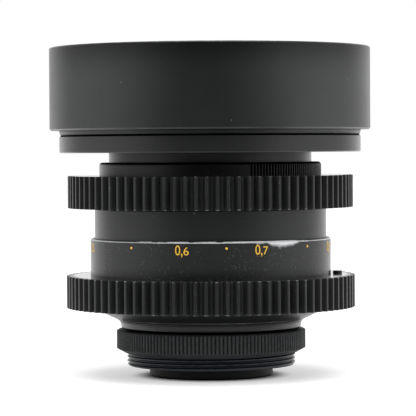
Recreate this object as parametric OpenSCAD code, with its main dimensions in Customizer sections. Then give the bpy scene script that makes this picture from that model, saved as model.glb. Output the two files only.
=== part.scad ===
// Cinema prime lens: a manual prime on a 42 mm camera thread, with two geared rings and a straight hood.
// Millimetres. The optical axis is Z, the rear cell stands on z = 0 and the hood points to +Z.
// The front of the picture is -Y; turns are counted from there towards +X.

/* [Mount] */
// outside diameter of the camera thread
thread_d = 42; // [38:0.1:46]
// wall between the camera thread and the light passage
thread_wall = 2.3; // [2:0.1:2.6]
// length of the camera thread
thread_len = 3.1; // [2:0.1:4]
// how far the rear cell stands out behind the thread
rear_proud = 2.7; // [1.5:0.1:4]
// how far the knurled band stands out over the thread
knurl_rise = 2.6; // [2.2:0.1:3.4]
// length of the knurled band
knurl_len = 4.35; // [3:0.05:5]
// grooves round the mount ring
mount_grooves = 150; // [100:1:160]
// depth of the mount ring's grooves
mount_groove_depth = 0.35; // [0.2:0.05:0.4]
// how far the neck above the mount ring stands out over the thread
neck_rise = 1.5; // [1.3:0.05:1.8]
// radius of the cove above the neck
cove_r = 2; // [1.5:0.1:2.5]
// slope of the flare above the cove, from the axis
flare_angle = 65; // [58:1:70]

/* [Focus ring] */
// thickness of the focus ring where it goes round the barrel
lip_wall = 0.85; // [0.7:0.05:1.6]
// height of the focus ring above its gear
scale_len = 9.25; // [8.4:0.05:12]
// teeth of the focus gear
focus_teeth = 88; // [84:1:96]
// module of both gears
gear_module = 0.8; // [0.78:0.01:0.86]
// width of both gears
gear_w = 8; // [7.5:0.1:8.6]
// turn from infinity to the closest distance, degrees
focus_throw = 230; // [120:5:270]

/* [Barrel] */
// wall of the telescoping barrel
barrel_wall = 0.9; // [0.8:0.05:1.5]
// wall of the main tube, which takes the helicoid outside and the screws in its end
tube_wall = 3.2; // [2.9:0.1:3.6]
// length of barrel that shows at infinity
barrel_len = 7.4; // [6.4:0.1:9]

/* [Aperture ring] */
// wall of the aperture ring under its gear
collar_wall = 1.8; // [1.6:0.1:2.4]
// how far the collar stands out over the gear's seat
collar_lip = 0.5; // [0.3:0.05:1.2]
// height of the collar above its gear
collar_len = 3.25; // [2.4:0.05:4]
// rounding of the collar's top edge
collar_round = 0.8; // [0.3:0.1:1.2]
// teeth of the aperture gear
aperture_teeth = 87; // [82:1:96]
// where the collar's knurl starts, degrees from the front
knurl_from = 20; // [0:1:60]
// where the collar's knurl ends, degrees from the front
knurl_to = 162; // [120:1:180]
// pitch of the collar's grooves, degrees
knurl_step = 1.72; // [1.5:0.01:2.4]
// depth of the collar's grooves
collar_groove_depth = 0.25; // [0.15:0.05:0.35]

/* [Iris] */
// turn of the aperture ring from open to closed, degrees
aperture_throw = 54; // [40:1:56]
// turn of each blade from open to closed, degrees
blade_throw = 37.8; // [30:0.1:38.4]
// how far each blade is closed as drawn, degrees
blade_rest = 14; // [4:0.5:26]
// clear radius of the open iris
iris_r = 11.2; // [10:0.05:12.3]
// width of a blade
blade_w = 3; // [2.7:0.1:3.3]
// from a blade's pivot to its drive pin
pin_out = 5; // [4.6:0.1:5.2]
// from the blades' pivots to the edge of the cam ring
cam_rim = 3.9; // [3.6:0.1:4.3]
// thickness of a blade
blade_t = 0.08; // [0.06:0.01:0.09]
// height from one blade to the next
blade_pitch = 0.13; // [0.12:0.005:0.135]

/* [Front] */
// wall of the front barrel
front_wall = 1.9; // [1.5:0.1:2.2]
// length of front barrel that shows under the step-up ring
front_len = 2.4; // [2:0.1:4]
// outside diameter of the step-up ring
step_d = 75.2; // [73:0.1:77]
// height of the step-up ring
step_len = 4.05; // [3.4:0.05:6]
// height of the dark seam between the step-up ring and the hood
seam_h = 0.4; // [0.2:0.05:0.5]
// outside diameter of the hood
hood_d = 80; // [78:0.5:86]
// height of the hood's wide part
hood_len = 20.55; // [14:0.05:36]
// thickness of the hood's wall
hood_wall = 1.5; // [1.2:0.1:2]
// height of one of the hood's inner ridges
ridge_pitch = 1.6; // [1.2:0.1:2.4]

/* [Optics] */
// front radius of the front element
front_r1 = 36.4; // [34:0.1:42]
// rear radius of the front element
front_r2 = 88.7; // [80:0.1:110]
// front radius of the front crown
crown_r = 21.7; // [21:0.1:24]
// hollow of the front flint
flint_r = 14.07; // [14:0.01:14.6]
// hollow of the rear flint
rear_flint_r = 16.46; // [16:0.01:18]
// rear radius of the rear crown
rear_crown_r = 22; // [21.4:0.1:26]
// front radius of the rear element
rear_r1 = 102.9; // [90:0.1:140]
// rear radius of the rear element
rear_r2 = 46.1; // [42:0.1:60]

/* [Fits] */
// gap of a piece that is screwed or pushed home
fit = 0.05; // [0.03:0.01:0.06]
// gap of a piece that turns
run = 0.1; // [0.08:0.01:0.1]
// gap of pieces that pass each other
pass = 0.25; // [0.2:0.01:0.3]

/* [Hidden] */
$fn = 96;
blades = 8;

// travel of the optics over the whole throw
focus_travel = 9;

// radii of the iris, from the inside out
pivot_r = iris_r + blade_w + 0.8;
cam_r = pivot_r + cam_rim;
cam_in_r = iris_r + 0.3;
arm_out_r = cam_r - 0.1;
arm_in_r = arm_out_r - 1.5;

// radii of the optical block
tube_in_r = cam_r + 1.6;
tube_r = tube_in_r + tube_wall;
screw_at = tube_in_r + 1.6;
screw_head_r = 1.15;
ledge_r = tube_in_r - 4.45;
rear_seat_r = ledge_r - fit;
rear_r = ledge_r - 0.65;
rear_glass_r = rear_r - 2.4;
cell_r = arm_in_r - 0.4;
front_glass_r = cell_r - 1.4;
doublet_r = cell_r - 2.4;
front_in_r = screw_at + screw_head_r + 0.15;
front_r = front_in_r + front_wall;
cell_flange_r = front_in_r - 0.2;
mouth_r = front_r - 1.1;
step_spigot_r = mouth_r - fit;
step_in_r = step_spigot_r - 1.55;

// radii of the aperture ring
gear_seat_r = front_r + run + collar_wall;
collar_r = gear_seat_r + collar_lip;

// radii of the focus group
well_r = tube_r + 0.3;
post_r = well_r + 0.8;
journal_r = well_r + 1.5;
bearing_r = journal_r + 1.1;
stop_r = 0.55;
stop_track_r = journal_r + 1.25;
flange_r = stop_track_r + stop_r + 0.94;
screw_sleeve_r = bearing_r + 1.1;
sleeve_r = screw_sleeve_r + 0.3;
barrel_r = sleeve_r + barrel_wall;
lip_r = barrel_r + pass;
focus_r = lip_r + lip_wall;

// radii of the mount
thread_r = thread_d / 2;
thread_lead = 0.4;
thread_collar_r = thread_r - 0.7;
throat_r = thread_r - thread_wall;
rim_r = thread_r + 0.35;
knurl_r = thread_r + knurl_rise;
neck_r = thread_r + neck_rise;
groove_r = neck_r - 1;
spigot_r = neck_r - 1.2;

// radii of the front
step_r = step_d / 2;
step_bore_r = step_r - 1.15;
seam_r = step_r - 0.3;
hood_r = hood_d / 2;
hood_in_r = hood_r - hood_wall;
hood_neck_r = step_bore_r - 1.45;

// heights of the mount, from the rear
lower_bevel = 1.2;
upper_bevel = 0.25;
thread_z = rear_proud;
mount_z = thread_z + thread_len;
knurl_z = mount_z + lower_bevel;
knurl_top_z = knurl_z + knurl_len;
ring_top_z = knurl_top_z + upper_bevel;
neck_z = ring_top_z + 0.6;
cove_z = neck_z + 0.3;
flare_r = neck_r + cove_r * (1 - cos(flare_angle));
flare_z = cove_z + cove_r * sin(flare_angle);
flange_z = flare_z + (flange_r - flare_r) / tan(flare_angle);
seat_z = flange_z + 0.4;
stop_z = seat_z - 0.45;
floor_z = seat_z + 0.35;

// heights of the focus group
focus_z = seat_z + 0.3;
bear_top_z = focus_z + 1.85;
post_z = bear_top_z + 0.15;
post_top_z = post_z + 1.35;
helicoid_z = post_top_z + 0.4;
step_down_z = focus_z + 7.05;
focus_gear_top_z = focus_z + gear_w;
focus_top_z = focus_gear_top_z + scale_len;
helicoid_top_z = focus_top_z - 1.2;
grub_z = (helicoid_z + step_down_z) / 2;

// heights of the optical block
tube_z = floor_z + 2.2;
ledge_z = tube_z + 1.6;
iris_z = ledge_z + 6;
barrel_z = step_down_z + 0.4;
barrel_top_z = focus_top_z + barrel_len;
aperture_z = barrel_top_z + 0.15;
foot_top_z = aperture_z - 1.95;
web_top_z = foot_top_z - 2;
tube_top_z = web_top_z - 2;
key_top_z = tube_z + focus_travel + 2.6;
drive_z = aperture_z + 1.95;
hold_z = aperture_z + 3.15;
hold_top_z = hold_z + 1.2;
front_seat_z = hold_top_z + 0.6;
cell_top_z = front_seat_z + 4.1;
collar_z = aperture_z + gear_w + fit;
collar_top_z = collar_z + collar_len;
step_z = collar_top_z + front_len;
step_top_z = step_z + step_len;
shoulder_z = step_top_z + seam_h;
hood_z = shoulder_z + 1.1;
hood_bevel = 0.4;
hood_top_z = hood_z + hood_len;

// heights of the iris
plate_top_z = iris_z + 1.1;
blade_z = plate_top_z + 0.1;
cam_z = blade_z + blades * blade_pitch + 0.06;
cam_top_z = cam_z + 1.1;
cell_z = cam_top_z + 0.2;
pin_r = 0.4;
tab_r = 0.9;
blade_arc = 115;
slot_r = pin_r + fit;
drive_r = 0.8;

// heights of the glass, from the iris outwards
flint_tip_z = iris_z + 10.2;
cement_z = iris_z + 12.4;
crown_tip_z = cement_z + 7.3;
flint_edge_z = cell_z + 1.3;
front_rear_z = front_seat_z + 1.4;
front_tip_z = front_rear_z + 5;
rear_flint_tip_z = iris_z - 5.7;
rear_cement_z = iris_z - 7.9;
rear_crown_tip_z = rear_cement_z - 6.3;
rear_front_z = rear_crown_tip_z - 0.3;
rear_tip_z = rear_front_z - 4;

// every sub-part, in order from the rear to the front

// angle about Z of a bearing counted from the front of the picture
function bearing(a) = a - 90;

// points of an arc in a plane
function arc(x, y, r, a0, a1, n) =
  [for (i = [0 : n]) let (a = a0 + (a1 - a0) * i / n) [x + r * cos(a), y + r * sin(a)]];

// a point turned about the origin
function turn(p, a) = [p[0] * cos(a) - p[1] * sin(a), p[0] * sin(a) + p[1] * cos(a)];

// involute of an angle, in degrees
function involute(a) = tan(a) * 180 / PI - a;

// half a tooth's angle at a radius
function tooth_half(n, r) =
  let (base_r = gear_module * n / 2 * cos(20))
  90 / n + involute(20) - involute(acos(base_r / r));

// outline of a gear with n teeth
function gear_points(n) =
  let (
    pitch_r = gear_module * n / 2,
    radii = [for (k = [-1.25, -0.6, 0.25, 1]) pitch_r + k * gear_module]
  )
  [for (i = [0 : n - 1], s = [-1, 1], j = [0 : 3])
    let (r = radii[s < 0 ? j : 3 - j], a = 360 / n * i + s * tooth_half(n, r))
    [r * cos(a), r * sin(a)]];

// star outline whose points stand a little outside a ring and whose valleys cut the grooves
function knurl_points(r, depth, n) =
  [for (i = [0 : 2 * n - 1])
    let (a = 180 / n * i, q = i % 2 == 0 ? r + depth / 3 : r - depth)
    [q * cos(a), q * sin(a)]];

// centre of a blade's drive pin, for a blade whose pivot lies on +X
function pin_at(b) = [pivot_r - pin_out * sin(b), pin_out * cos(b)];

// the same centre seen from the cam ring
function track(b) = turn(pin_at(b), -b * aperture_throw / blade_throw);

// direction across the cam track
function across(b) = let (d = track(b + 0.5) - track(b - 0.5)) [-d[1], d[0]] / norm(d);

// outline of one cam slot without its round ends
function slot_points() =
  let (steps = 14)
  concat(
    [for (i = [0 : steps]) let (b = blade_throw * i / steps) track(b) + slot_r * across(b)],
    [for (i = [steps : -1 : 0]) let (b = blade_throw * i / steps) track(b) - slot_r * across(b)]
  );

// outline of a blade that is fully open, with its pivot on +X
function blade_points() =
  let (mid_r = iris_r + blade_w / 2, out_r = iris_r + blade_w)
  concat(
    arc(0, 0, iris_r, 0, blade_arc, 24),
    arc(mid_r * cos(blade_arc), mid_r * sin(blade_arc), blade_w / 2, blade_arc + 155, blade_arc + 25, 8),
    arc(0, 0, out_r, blade_arc, 26, 18),
    arc(pivot_r, pin_out, tab_r, 100, 0, 6),
    arc(pivot_r, 0, tab_r, 0, -110, 6)
  );

module turned(points) {
  rotate_extrude() polygon(points);
}

// a plain ring with bevelled outer edges
module ring(inner, outer, z0, z1, bevel = 0) {
  turned([
    [inner, z0], [outer - bevel, z0], [outer, z0 + bevel],
    [outer, z1 - bevel], [outer - bevel, z1], [inner, z1]
  ]);
}

// a round bar that points outwards at a bearing
module radial(a, z, r0, r1, r) {
  rotate([0, 0, bearing(a)]) translate([r0, 0, z]) rotate([0, 90, 0]) cylinder(h = r1 - r0, r = r);
}

// an upright round bar at a bearing
module upright(a, at, z0, z1, r) {
  rotate([0, 0, bearing(a)]) translate([at, 0, z0]) cylinder(h = z1 - z0, r = r);
}

// a box that stands at a bearing, from one radius to another
module block(a, r0, r1, w, z0, z1) {
  rotate([0, 0, bearing(a)]) translate([r0, -w / 2, z0]) cube([r1 - r0, w, z1 - z0]);
}

// a sector of a ring between two bearings
module sector(a0, a1, r0, r1, z0, z1) {
  rotate([0, 0, bearing(a0)]) rotate_extrude(angle = a1 - a0) translate([r0, z0]) square([r1 - r0, z1 - z0]);
}

// a toothed ring
module gear(n, bore_r, z0) {
  difference() {
    translate([0, 0, z0]) linear_extrude(gear_w) polygon(gear_points(n));
    translate([0, 0, z0 - 1]) cylinder(h = gear_w + 2, r = bore_r);
  }
}

// a ball whose pole lies at a height: above its centre, or below it
module ball_under(tip_z, r) {
  translate([0, 0, tip_z - r]) sphere(r = r, $fn = 240);
}

module ball_over(tip_z, r) {
  translate([0, 0, tip_z + r]) sphere(r = r, $fn = 240);
}

module disc(r, z0, z1) {
  translate([0, 0, z0]) cylinder(h = z1 - z0, r = r);
}

// sleeve with the camera thread, drawn as a plain cylinder of its full diameter
module thread_sleeve() {
  color([0.11, 0.11, 0.13])
    turned([
      [throat_r, thread_z], [thread_r - thread_lead, thread_z], [thread_r, thread_z + thread_lead],
      [thread_r, mount_z], [thread_collar_r, mount_z],
      [thread_collar_r, knurl_z + 0.05], [throat_r, knurl_z + 0.05]
    ]);
}

// knurled ring that carries the thread sleeve below and the rear barrel above
module mount_ring() {
  socket_r = spigot_r + fit;
  collar_in_r = thread_collar_r + fit;
  socket_z = knurl_z + 0.1;
  ring_h = ring_top_z - mount_z + 2;
  color([0.10, 0.10, 0.11])
    intersection() {
      turned([
        [thread_r + fit, mount_z], [rim_r, mount_z], [knurl_r, knurl_z], [knurl_r, knurl_top_z],
        [knurl_r - mount_groove_depth - 0.1, ring_top_z], [socket_r, ring_top_z], [socket_r, socket_z],
        [collar_in_r, socket_z], [collar_in_r, mount_z + 0.8]
      ]);
      translate([0, 0, mount_z - 1])
        linear_extrude(ring_h) polygon(knurl_points(knurl_r, mount_groove_depth, mount_grooves));
    }
}

key_w = 4;
key_in_r = tube_r - 2;
key_out_r = tube_r - 0.2;
key_foot_in_r = key_in_r - 0.3;
key_foot_out_r = key_out_r + 0.2;
key_foot_half = 15;
key_foot_z = floor_z + 1.2;
key_bearings = [90, 270];
key_screw_at = (key_foot_in_r + key_foot_out_r) / 2;
key_screw_r = 0.5;
key_screw_depth = 1.5;
key_screw_bearings = [for (a = key_bearings, s = [-1, 1]) a + 11 * s];

// rear barrel: spigot, neck, cove and flare with two ring lines, flange,
// and the post that the focus ring turns on
module mount_barrel() {
  cove_mid = [neck_r + cove_r, cove_z];
  ring_lines = [[40, 0.2], [flare_angle, 0.14]];
  color([0.09, 0.09, 0.10])
    difference() {
      rotate_extrude() difference() {
        polygon([
          [throat_r, knurl_z + 0.2], [spigot_r, knurl_z + 0.2], [spigot_r, ring_top_z + fit],
          [groove_r, ring_top_z + fit], [groove_r, neck_z], [neck_r - 0.15, neck_z], [neck_r, neck_z + 0.15],
          [neck_r, cove_z], cove_mid, [flare_r, flare_z], [flange_r, flange_z], [flange_r, seat_z],
          [journal_r, seat_z], [journal_r, post_z], [post_r, post_z], [post_r, post_top_z],
          [well_r, post_top_z], [well_r, floor_z], [throat_r, floor_z]
        ]);
        translate(cove_mid) circle(r = cove_r);
        for (line = ring_lines)
          translate(cove_mid + cove_r * [-cos(line[0]), sin(line[0])]) circle(r = line[1], $fn = 24);
      }
      upright(stop_bearing, stop_track_r, stop_z - fit, seat_z + 1, stop_r + fit);
      for (a = key_screw_bearings)
        upright(a, key_screw_at, floor_z - key_screw_depth - 0.1, floor_z + 1, key_screw_r + fit);
    }
}

// ring screwed on the post, which keeps the focus ring down
module bearing_ring() {
  color([0.62, 0.60, 0.52])
    difference() {
      ring(post_r + fit, bearing_r, post_z + fit, post_top_z, 0.15);
      for (a = [0, 180]) block(a, post_r, bearing_r - 0.6, 1.2, post_top_z - 0.7, post_top_z + 1);
    }
}

// two straight keys: a curved foot on the rear barrel's floor and a tall bar in the main tube's keyway
module guide_keys() {
  color([0.72, 0.58, 0.30])
    difference() {
      for (a = key_bearings) {
        sector(a - key_foot_half, a + key_foot_half, key_foot_in_r, key_foot_out_r, floor_z, key_foot_z);
        block(a, key_in_r, key_out_r, key_w, floor_z, key_top_z);
      }
      for (a = key_screw_bearings) upright(a, key_screw_at, floor_z - 1, key_foot_z + 1, key_screw_r + fit);
    }
}

module key_screws() {
  head_r = 0.95;
  color([0.55, 0.55, 0.57])
    for (a = key_screw_bearings)
      difference() {
        union() {
          upright(a, key_screw_at, floor_z - key_screw_depth, key_foot_z + 0.2, key_screw_r);
          upright(a, key_screw_at, key_foot_z, key_foot_z + 0.6, head_r);
        }
        block(a, key_screw_at - 2, key_screw_at + 2, 0.3, key_foot_z + 0.35, key_foot_z + 1);
      }
}

stop_bearing = 200;

module focus_stop_pin() {
  color([0.55, 0.55, 0.57]) upright(stop_bearing, stop_track_r, stop_z, bear_top_z - 0.7, stop_r);
}

grub_bearings = [60, 180, 300];
grub_r = 0.75;

// focus ring: a flange that turns on the post, a bore for the helicoid sleeve and a thin lip round the barrel
module focus_ring() {
  track_r = stop_r + pass;
  track_top_z = bear_top_z - 0.5;
  color([0.08, 0.08, 0.09])
    difference() {
      turned([
        [journal_r + run, focus_z], [focus_r - 0.2, focus_z], [focus_r, focus_z + 0.2],
        [focus_r, focus_top_z - 0.4], [focus_r - 0.3, focus_top_z], [lip_r + 0.1, focus_top_z],
        [lip_r, focus_top_z - 0.1], [lip_r, step_down_z], [screw_sleeve_r + fit, step_down_z],
        [screw_sleeve_r + fit, bear_top_z], [journal_r + run, bear_top_z]
      ]);
      sector(stop_bearing - focus_throw, stop_bearing, stop_track_r - track_r, stop_track_r + track_r,
        focus_z - 1, track_top_z);
      for (a = [stop_bearing - focus_throw, stop_bearing])
        upright(a, stop_track_r, focus_z - 1, track_top_z, track_r);
      for (a = grub_bearings) radial(a, grub_z, screw_sleeve_r - 1, focus_r + 1, grub_r + fit);
    }
}

lock_bearing = 91;
lock_at = focus_r + 1.75;
lock_r = 0.6;

module focus_gear() {
  color([0.07, 0.07, 0.08])
    difference() {
      rotate([0, 0, bearing(2.2)]) gear(focus_teeth, focus_r + fit, focus_z);
      upright(lock_bearing, lock_at, focus_gear_top_z - 4.2, focus_gear_top_z + 1, lock_r + fit);
    }
}

// brass sleeve with the helicoid's outer half, drawn as a plain bore
module focus_helicoid() {
  color([0.74, 0.60, 0.32])
    difference() {
      ring(tube_r + fit, screw_sleeve_r, helicoid_z, helicoid_top_z, 0.3);
      for (a = grub_bearings) radial(a, grub_z, screw_sleeve_r - 1.4, screw_sleeve_r + 1, grub_r + fit);
    }
}

module focus_grub_screws() {
  color([0.45, 0.45, 0.47])
    for (a = grub_bearings)
      difference() {
        radial(a, grub_z, screw_sleeve_r - 1.2, focus_r - 0.1, grub_r);
        block(a, focus_r - 0.6, focus_r + 1, 0.3, grub_z - 1, grub_z + 1);
      }
}

// small slotted screw that locks the focus gear
module gear_lock_screw() {
  head_r = 1.15;
  head_h = 0.75;
  color([0.05, 0.05, 0.06])
    difference() {
      union() {
        upright(lock_bearing, lock_at, focus_gear_top_z - 4, focus_gear_top_z + 0.3, lock_r);
        upright(lock_bearing, lock_at, focus_gear_top_z, focus_gear_top_z + head_h, head_r);
      }
      block(lock_bearing, lock_at - 2, lock_at + 2, 0.35, focus_gear_top_z + 0.4, focus_gear_top_z + 2);
    }
}

screw_bearings = [0, 120, 240];
screw_r = 0.8;

// main tube: the helicoid's inner half outside, the optics' seats inside
module main_tube() {
  color([0.30, 0.30, 0.31])
    difference() {
      turned([
        [tube_in_r, tube_z], [tube_r - 0.3, tube_z], [tube_r, tube_z + 0.3], [tube_r, tube_top_z],
        [tube_in_r, tube_top_z], [tube_in_r, iris_z], [ledge_r, iris_z],
        [ledge_r, ledge_z], [tube_in_r, ledge_z]
      ]);
      for (a = key_bearings) block(a, key_in_r - 0.15, tube_r + 1, key_w + 0.2, tube_z - 1, key_top_z + 0.5);
      for (a = screw_bearings) upright(a, screw_at, tube_top_z - 5.2, tube_top_z + 1, screw_r + fit);
    }
}

// telescoping barrel: an outer wall with a web that sits on the main tube
module outer_barrel() {
  color([0.09, 0.09, 0.10])
    difference() {
      turned([
        [sleeve_r, barrel_z], [barrel_r - 0.2, barrel_z], [barrel_r, barrel_z + 0.2],
        [barrel_r, barrel_top_z - 0.25], [barrel_r - 0.25, barrel_top_z], [sleeve_r, barrel_top_z],
        [sleeve_r, web_top_z], [tube_in_r + 0.1, web_top_z],
        [tube_in_r + 0.1, tube_top_z], [sleeve_r, tube_top_z]
      ]);
      for (a = screw_bearings) upright(a, screw_at, tube_top_z - 1, web_top_z + 1, screw_r + fit);
    }
}

module barrel_screws() {
  color([0.45, 0.45, 0.47])
    for (a = screw_bearings)
      difference() {
        union() {
          upright(a, screw_at, tube_top_z - 5, foot_top_z + 0.3, screw_r);
          upright(a, screw_at, foot_top_z, foot_top_z + 0.9, screw_head_r);
        }
        block(a, screw_at - 2, screw_at + 2, 0.35, foot_top_z + 0.55, foot_top_z + 2);
      }
}

drive_bearing = 180;
open_turn = -aperture_throw * blade_rest / blade_throw;
shut_turn = open_turn + aperture_throw;

// front barrel: a foot on the web, the tube that the aperture ring turns on,
// a seat for the front cell and the filter mouth
module front_barrel() {
  mouth_z = step_z - 3.2;
  foot_r = sleeve_r - 0.1;
  slot_h = drive_r + 0.15;
  slot_end = asin(slot_h / front_in_r);
  color([0.07, 0.07, 0.08])
    difference() {
      turned([
        [tube_in_r + 0.1, web_top_z], [foot_r, web_top_z], [foot_r, foot_top_z], [front_r, foot_top_z],
        [front_r, step_z], [mouth_r, step_z], [mouth_r, mouth_z], [front_in_r, mouth_z],
        [front_in_r, hold_top_z], [tube_in_r - 0.5, hold_top_z], [tube_in_r - 0.5, hold_z],
        [front_in_r, hold_z], [front_in_r, foot_top_z], [tube_in_r + 0.1, foot_top_z]
      ]);
      sector(drive_bearing + open_turn - slot_end, drive_bearing + shut_turn + slot_end,
        front_in_r - 1, front_r + 1, drive_z - slot_h, drive_z + slot_h);
      for (a = screw_bearings) upright(a, screw_at, web_top_z - 1, foot_top_z + 1, screw_r + fit);
    }
}

module front_cell() {
  bore_r = doublet_r + 0.1;
  wall_r = front_glass_r + 2.1;
  color([0.06, 0.06, 0.07])
    turned([
      [iris_r + 0.1, cell_z], [cell_r, cell_z], [cell_r, hold_top_z], [cell_flange_r, hold_top_z],
      [cell_flange_r, front_seat_z + 0.6], [wall_r, front_seat_z + 0.6], [wall_r, cell_top_z],
      [front_glass_r + 0.1, cell_top_z], [front_glass_r + 0.1, front_seat_z], [bore_r, front_seat_z],
      [bore_r, flint_edge_z - 0.1], [iris_r + 0.1, flint_edge_z - 0.1]
    ]);
}

module front_element() {
  color([0.75, 0.80, 0.88, 0.35])
    difference() {
      intersection() {
        disc(front_glass_r, front_seat_z - 1, front_tip_z + 1);
        ball_under(front_tip_z, front_r1);
      }
      ball_under(front_rear_z, front_r2);
    }
}

module front_crown() {
  color([0.78, 0.84, 0.86, 0.35])
    intersection() {
      disc(doublet_r, cement_z, crown_tip_z + 1);
      ball_under(crown_tip_z, crown_r);
    }
}

module front_flint() {
  color([0.80, 0.82, 0.80, 0.35])
    difference() {
      disc(doublet_r, flint_edge_z, cement_z);
      ball_under(flint_tip_z, flint_r);
    }
}

// ring that holds the front doublet down
module doublet_ring() {
  inner = doublet_r - 1.3;
  touch_z = crown_tip_z - crown_r + sqrt(crown_r * crown_r - inner * inner) + 0.12;
  color([0.05, 0.05, 0.05]) ring(inner, doublet_r + fit, touch_z, touch_z + 1.7);
}

// ring that holds the front element down
module front_retaining_ring() {
  inner = front_glass_r - 1.1;
  touch_z = front_tip_z - front_r1 + sqrt(front_r1 * front_r1 - inner * inner) + 0.12;
  color([0.05, 0.05, 0.05])
    difference() {
      ring(inner, front_glass_r + fit, touch_z, touch_z + 1.1);
      for (a = [90, 270]) block(a, inner - 1, front_glass_r - 0.3, 1.4, touch_z + 0.6, touch_z + 3);
    }
}

// stepped ring that fills the front between cell and barrel
module front_trim_ring() {
  inner = front_glass_r + 2.2;
  base_z = front_seat_z + 0.65;
  steps = 5;
  step_w = (cell_flange_r - inner - 1) / steps;
  color([0.06, 0.06, 0.06])
    turned(concat(
      [[inner, base_z], [cell_flange_r, base_z]],
      [for (i = [steps - 1 : -1 : 0], j = [1, 0]) [inner + 1 + step_w * (i + j), base_z + 0.7 + 0.24 * i]],
      [[inner + 1, base_z + 1.6], [inner, base_z + 1.6]]
    ));
}

module iris_housing() {
  shelf_r = cam_r - 1.7;
  color([0.10, 0.10, 0.10])
    difference() {
      turned([
        [iris_r + 0.2, iris_z], [tube_in_r - 0.1, iris_z], [tube_in_r - 0.1, cam_top_z - 0.1],
        [cam_r + run, cam_top_z - 0.1], [cam_r + run, cam_z - run], [shelf_r, cam_z - run],
        [shelf_r, plate_top_z], [iris_r + 0.2, plate_top_z]
      ]);
      for (i = [0 : blades - 1])
        rotate([0, 0, 360 / blades * i]) translate([pivot_r, 0, iris_z - 1]) cylinder(h = 4, r = pin_r + fit);
    }
}

module rear_cell() {
  bore_r = rear_glass_r + fit;
  lip_z = iris_z - 1.4;
  color([0.07, 0.07, 0.07])
    turned([
      [bore_r + 0.4, 0], [rear_r - 0.4, 0], [rear_r, 0.4], [rear_r, ledge_z - 2.1],
      [rear_seat_r + 1.6, ledge_z - 2.1], [rear_seat_r + 1.6, ledge_z - fit], [rear_seat_r, ledge_z - fit],
      [rear_seat_r, iris_z - 0.4], [iris_r, iris_z - 0.4], [iris_r, lip_z], [bore_r, lip_z], [bore_r, 0.4]
    ]);
}

module rear_flint() {
  color([0.80, 0.82, 0.80, 0.35])
    difference() {
      disc(rear_glass_r, rear_cement_z, iris_z - 1.5);
      ball_over(rear_flint_tip_z, rear_flint_r);
    }
}

module rear_crown() {
  color([0.78, 0.84, 0.86, 0.35])
    intersection() {
      disc(rear_glass_r, rear_crown_tip_z - 1, rear_cement_z);
      ball_over(rear_crown_tip_z, rear_crown_r);
    }
}

module rear_spacer() {
  inner = rear_glass_r - 1.2;
  top_z = rear_crown_tip_z + rear_crown_r - sqrt(rear_crown_r * rear_crown_r - inner * inner) - 0.12;
  low_z = rear_front_z - rear_r1 + sqrt(rear_r1 * rear_r1 - inner * inner) + 0.12;
  color([0.05, 0.05, 0.05]) ring(inner, rear_glass_r, low_z, top_z);
}

module rear_element() {
  color([0.75, 0.80, 0.88, 0.35])
    intersection() {
      disc(rear_glass_r, rear_tip_z - 1, rear_front_z + 1);
      ball_under(rear_front_z, rear_r1);
      ball_over(rear_tip_z, rear_r2);
    }
}

module rear_retaining_ring() {
  inner = rear_glass_r - 1.1;
  touch_z = rear_tip_z + rear_r2 - sqrt(rear_r2 * rear_r2 - inner * inner) - 0.12;
  color([0.05, 0.05, 0.05])
    difference() {
      ring(inner, rear_glass_r, touch_z - 1.7, touch_z);
      for (a = [0, 180]) block(a, inner - 1, rear_glass_r - 0.3, 1.4, touch_z - 3, touch_z - 1.1);
    }
}

// step-up ring: filter spigot below, a bore for the hood above and a land inside the seam
module step_up_ring() {
  color([0.08, 0.08, 0.09])
    turned([
      [step_in_r, step_z - 3.1], [step_spigot_r, step_z - 3.1], [step_spigot_r, step_z],
      [step_r - 0.25, step_z], [step_r, step_z + 0.25], [step_r, step_top_z - 0.1],
      [step_r - 0.1, step_top_z], [seam_r, step_top_z], [seam_r, shoulder_z - fit],
      [step_bore_r, shoulder_z - fit], [step_bore_r, step_z + 1.2], [step_in_r, step_z + 1.2]
    ]);
}

// straight hood: thread spigot, shoulder, bevelled lower edge, ridged inside
module hood() {
  floor_top_z = hood_z + 1.8;
  ridges = floor((hood_len - 5) / ridge_pitch);
  ridge_z = hood_top_z - 2 - ridges * ridge_pitch;
  ridge_h = 0.4;
  color([0.09, 0.09, 0.10])
    turned(concat(
      [
        [hood_neck_r, step_z + 1.4], [step_bore_r - fit, step_z + 1.4], [step_bore_r - fit, shoulder_z],
        [step_r - 0.25, shoulder_z], [step_r - 0.15, shoulder_z + 0.1], [step_r - 0.15, shoulder_z + 0.45],
        [step_r, shoulder_z + 0.6], [step_r, hood_z], [hood_r - hood_bevel, hood_z],
        [hood_r, hood_z + hood_bevel], [hood_r, hood_top_z - 0.3], [hood_r - 0.3, hood_top_z],
        [hood_in_r + 0.2, hood_top_z], [hood_in_r, hood_top_z - 0.2]
      ],
      [for (i = [ridges - 1 : -1 : 0], j = [0, 1])
        j == 0
          ? [hood_in_r, ridge_z + (i + 1) * ridge_pitch]
          : [hood_in_r - ridge_h, ridge_z + i * ridge_pitch + 0.3]],
      [[hood_in_r, ridge_z], [hood_in_r, floor_top_z], [hood_neck_r, floor_top_z]]
    ));
}

// comb that cuts grooves into one side of the collar
function comb_points() =
  let (n = floor((knurl_to - knurl_from) / knurl_step), top = collar_r + 1)
  concat(
    [for (i = [0 : 2 * n])
      let (a = bearing(knurl_from) + i * knurl_step / 2,
        q = i % 2 == 0 ? collar_r + collar_groove_depth / 4 : collar_r - collar_groove_depth)
      [q * cos(a), q * sin(a)]],
    [for (i = [2 * n : -1 : 0])
      let (a = bearing(knurl_from) + i * knurl_step / 2)
      [top * cos(a), top * sin(a)]]
  );

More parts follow.
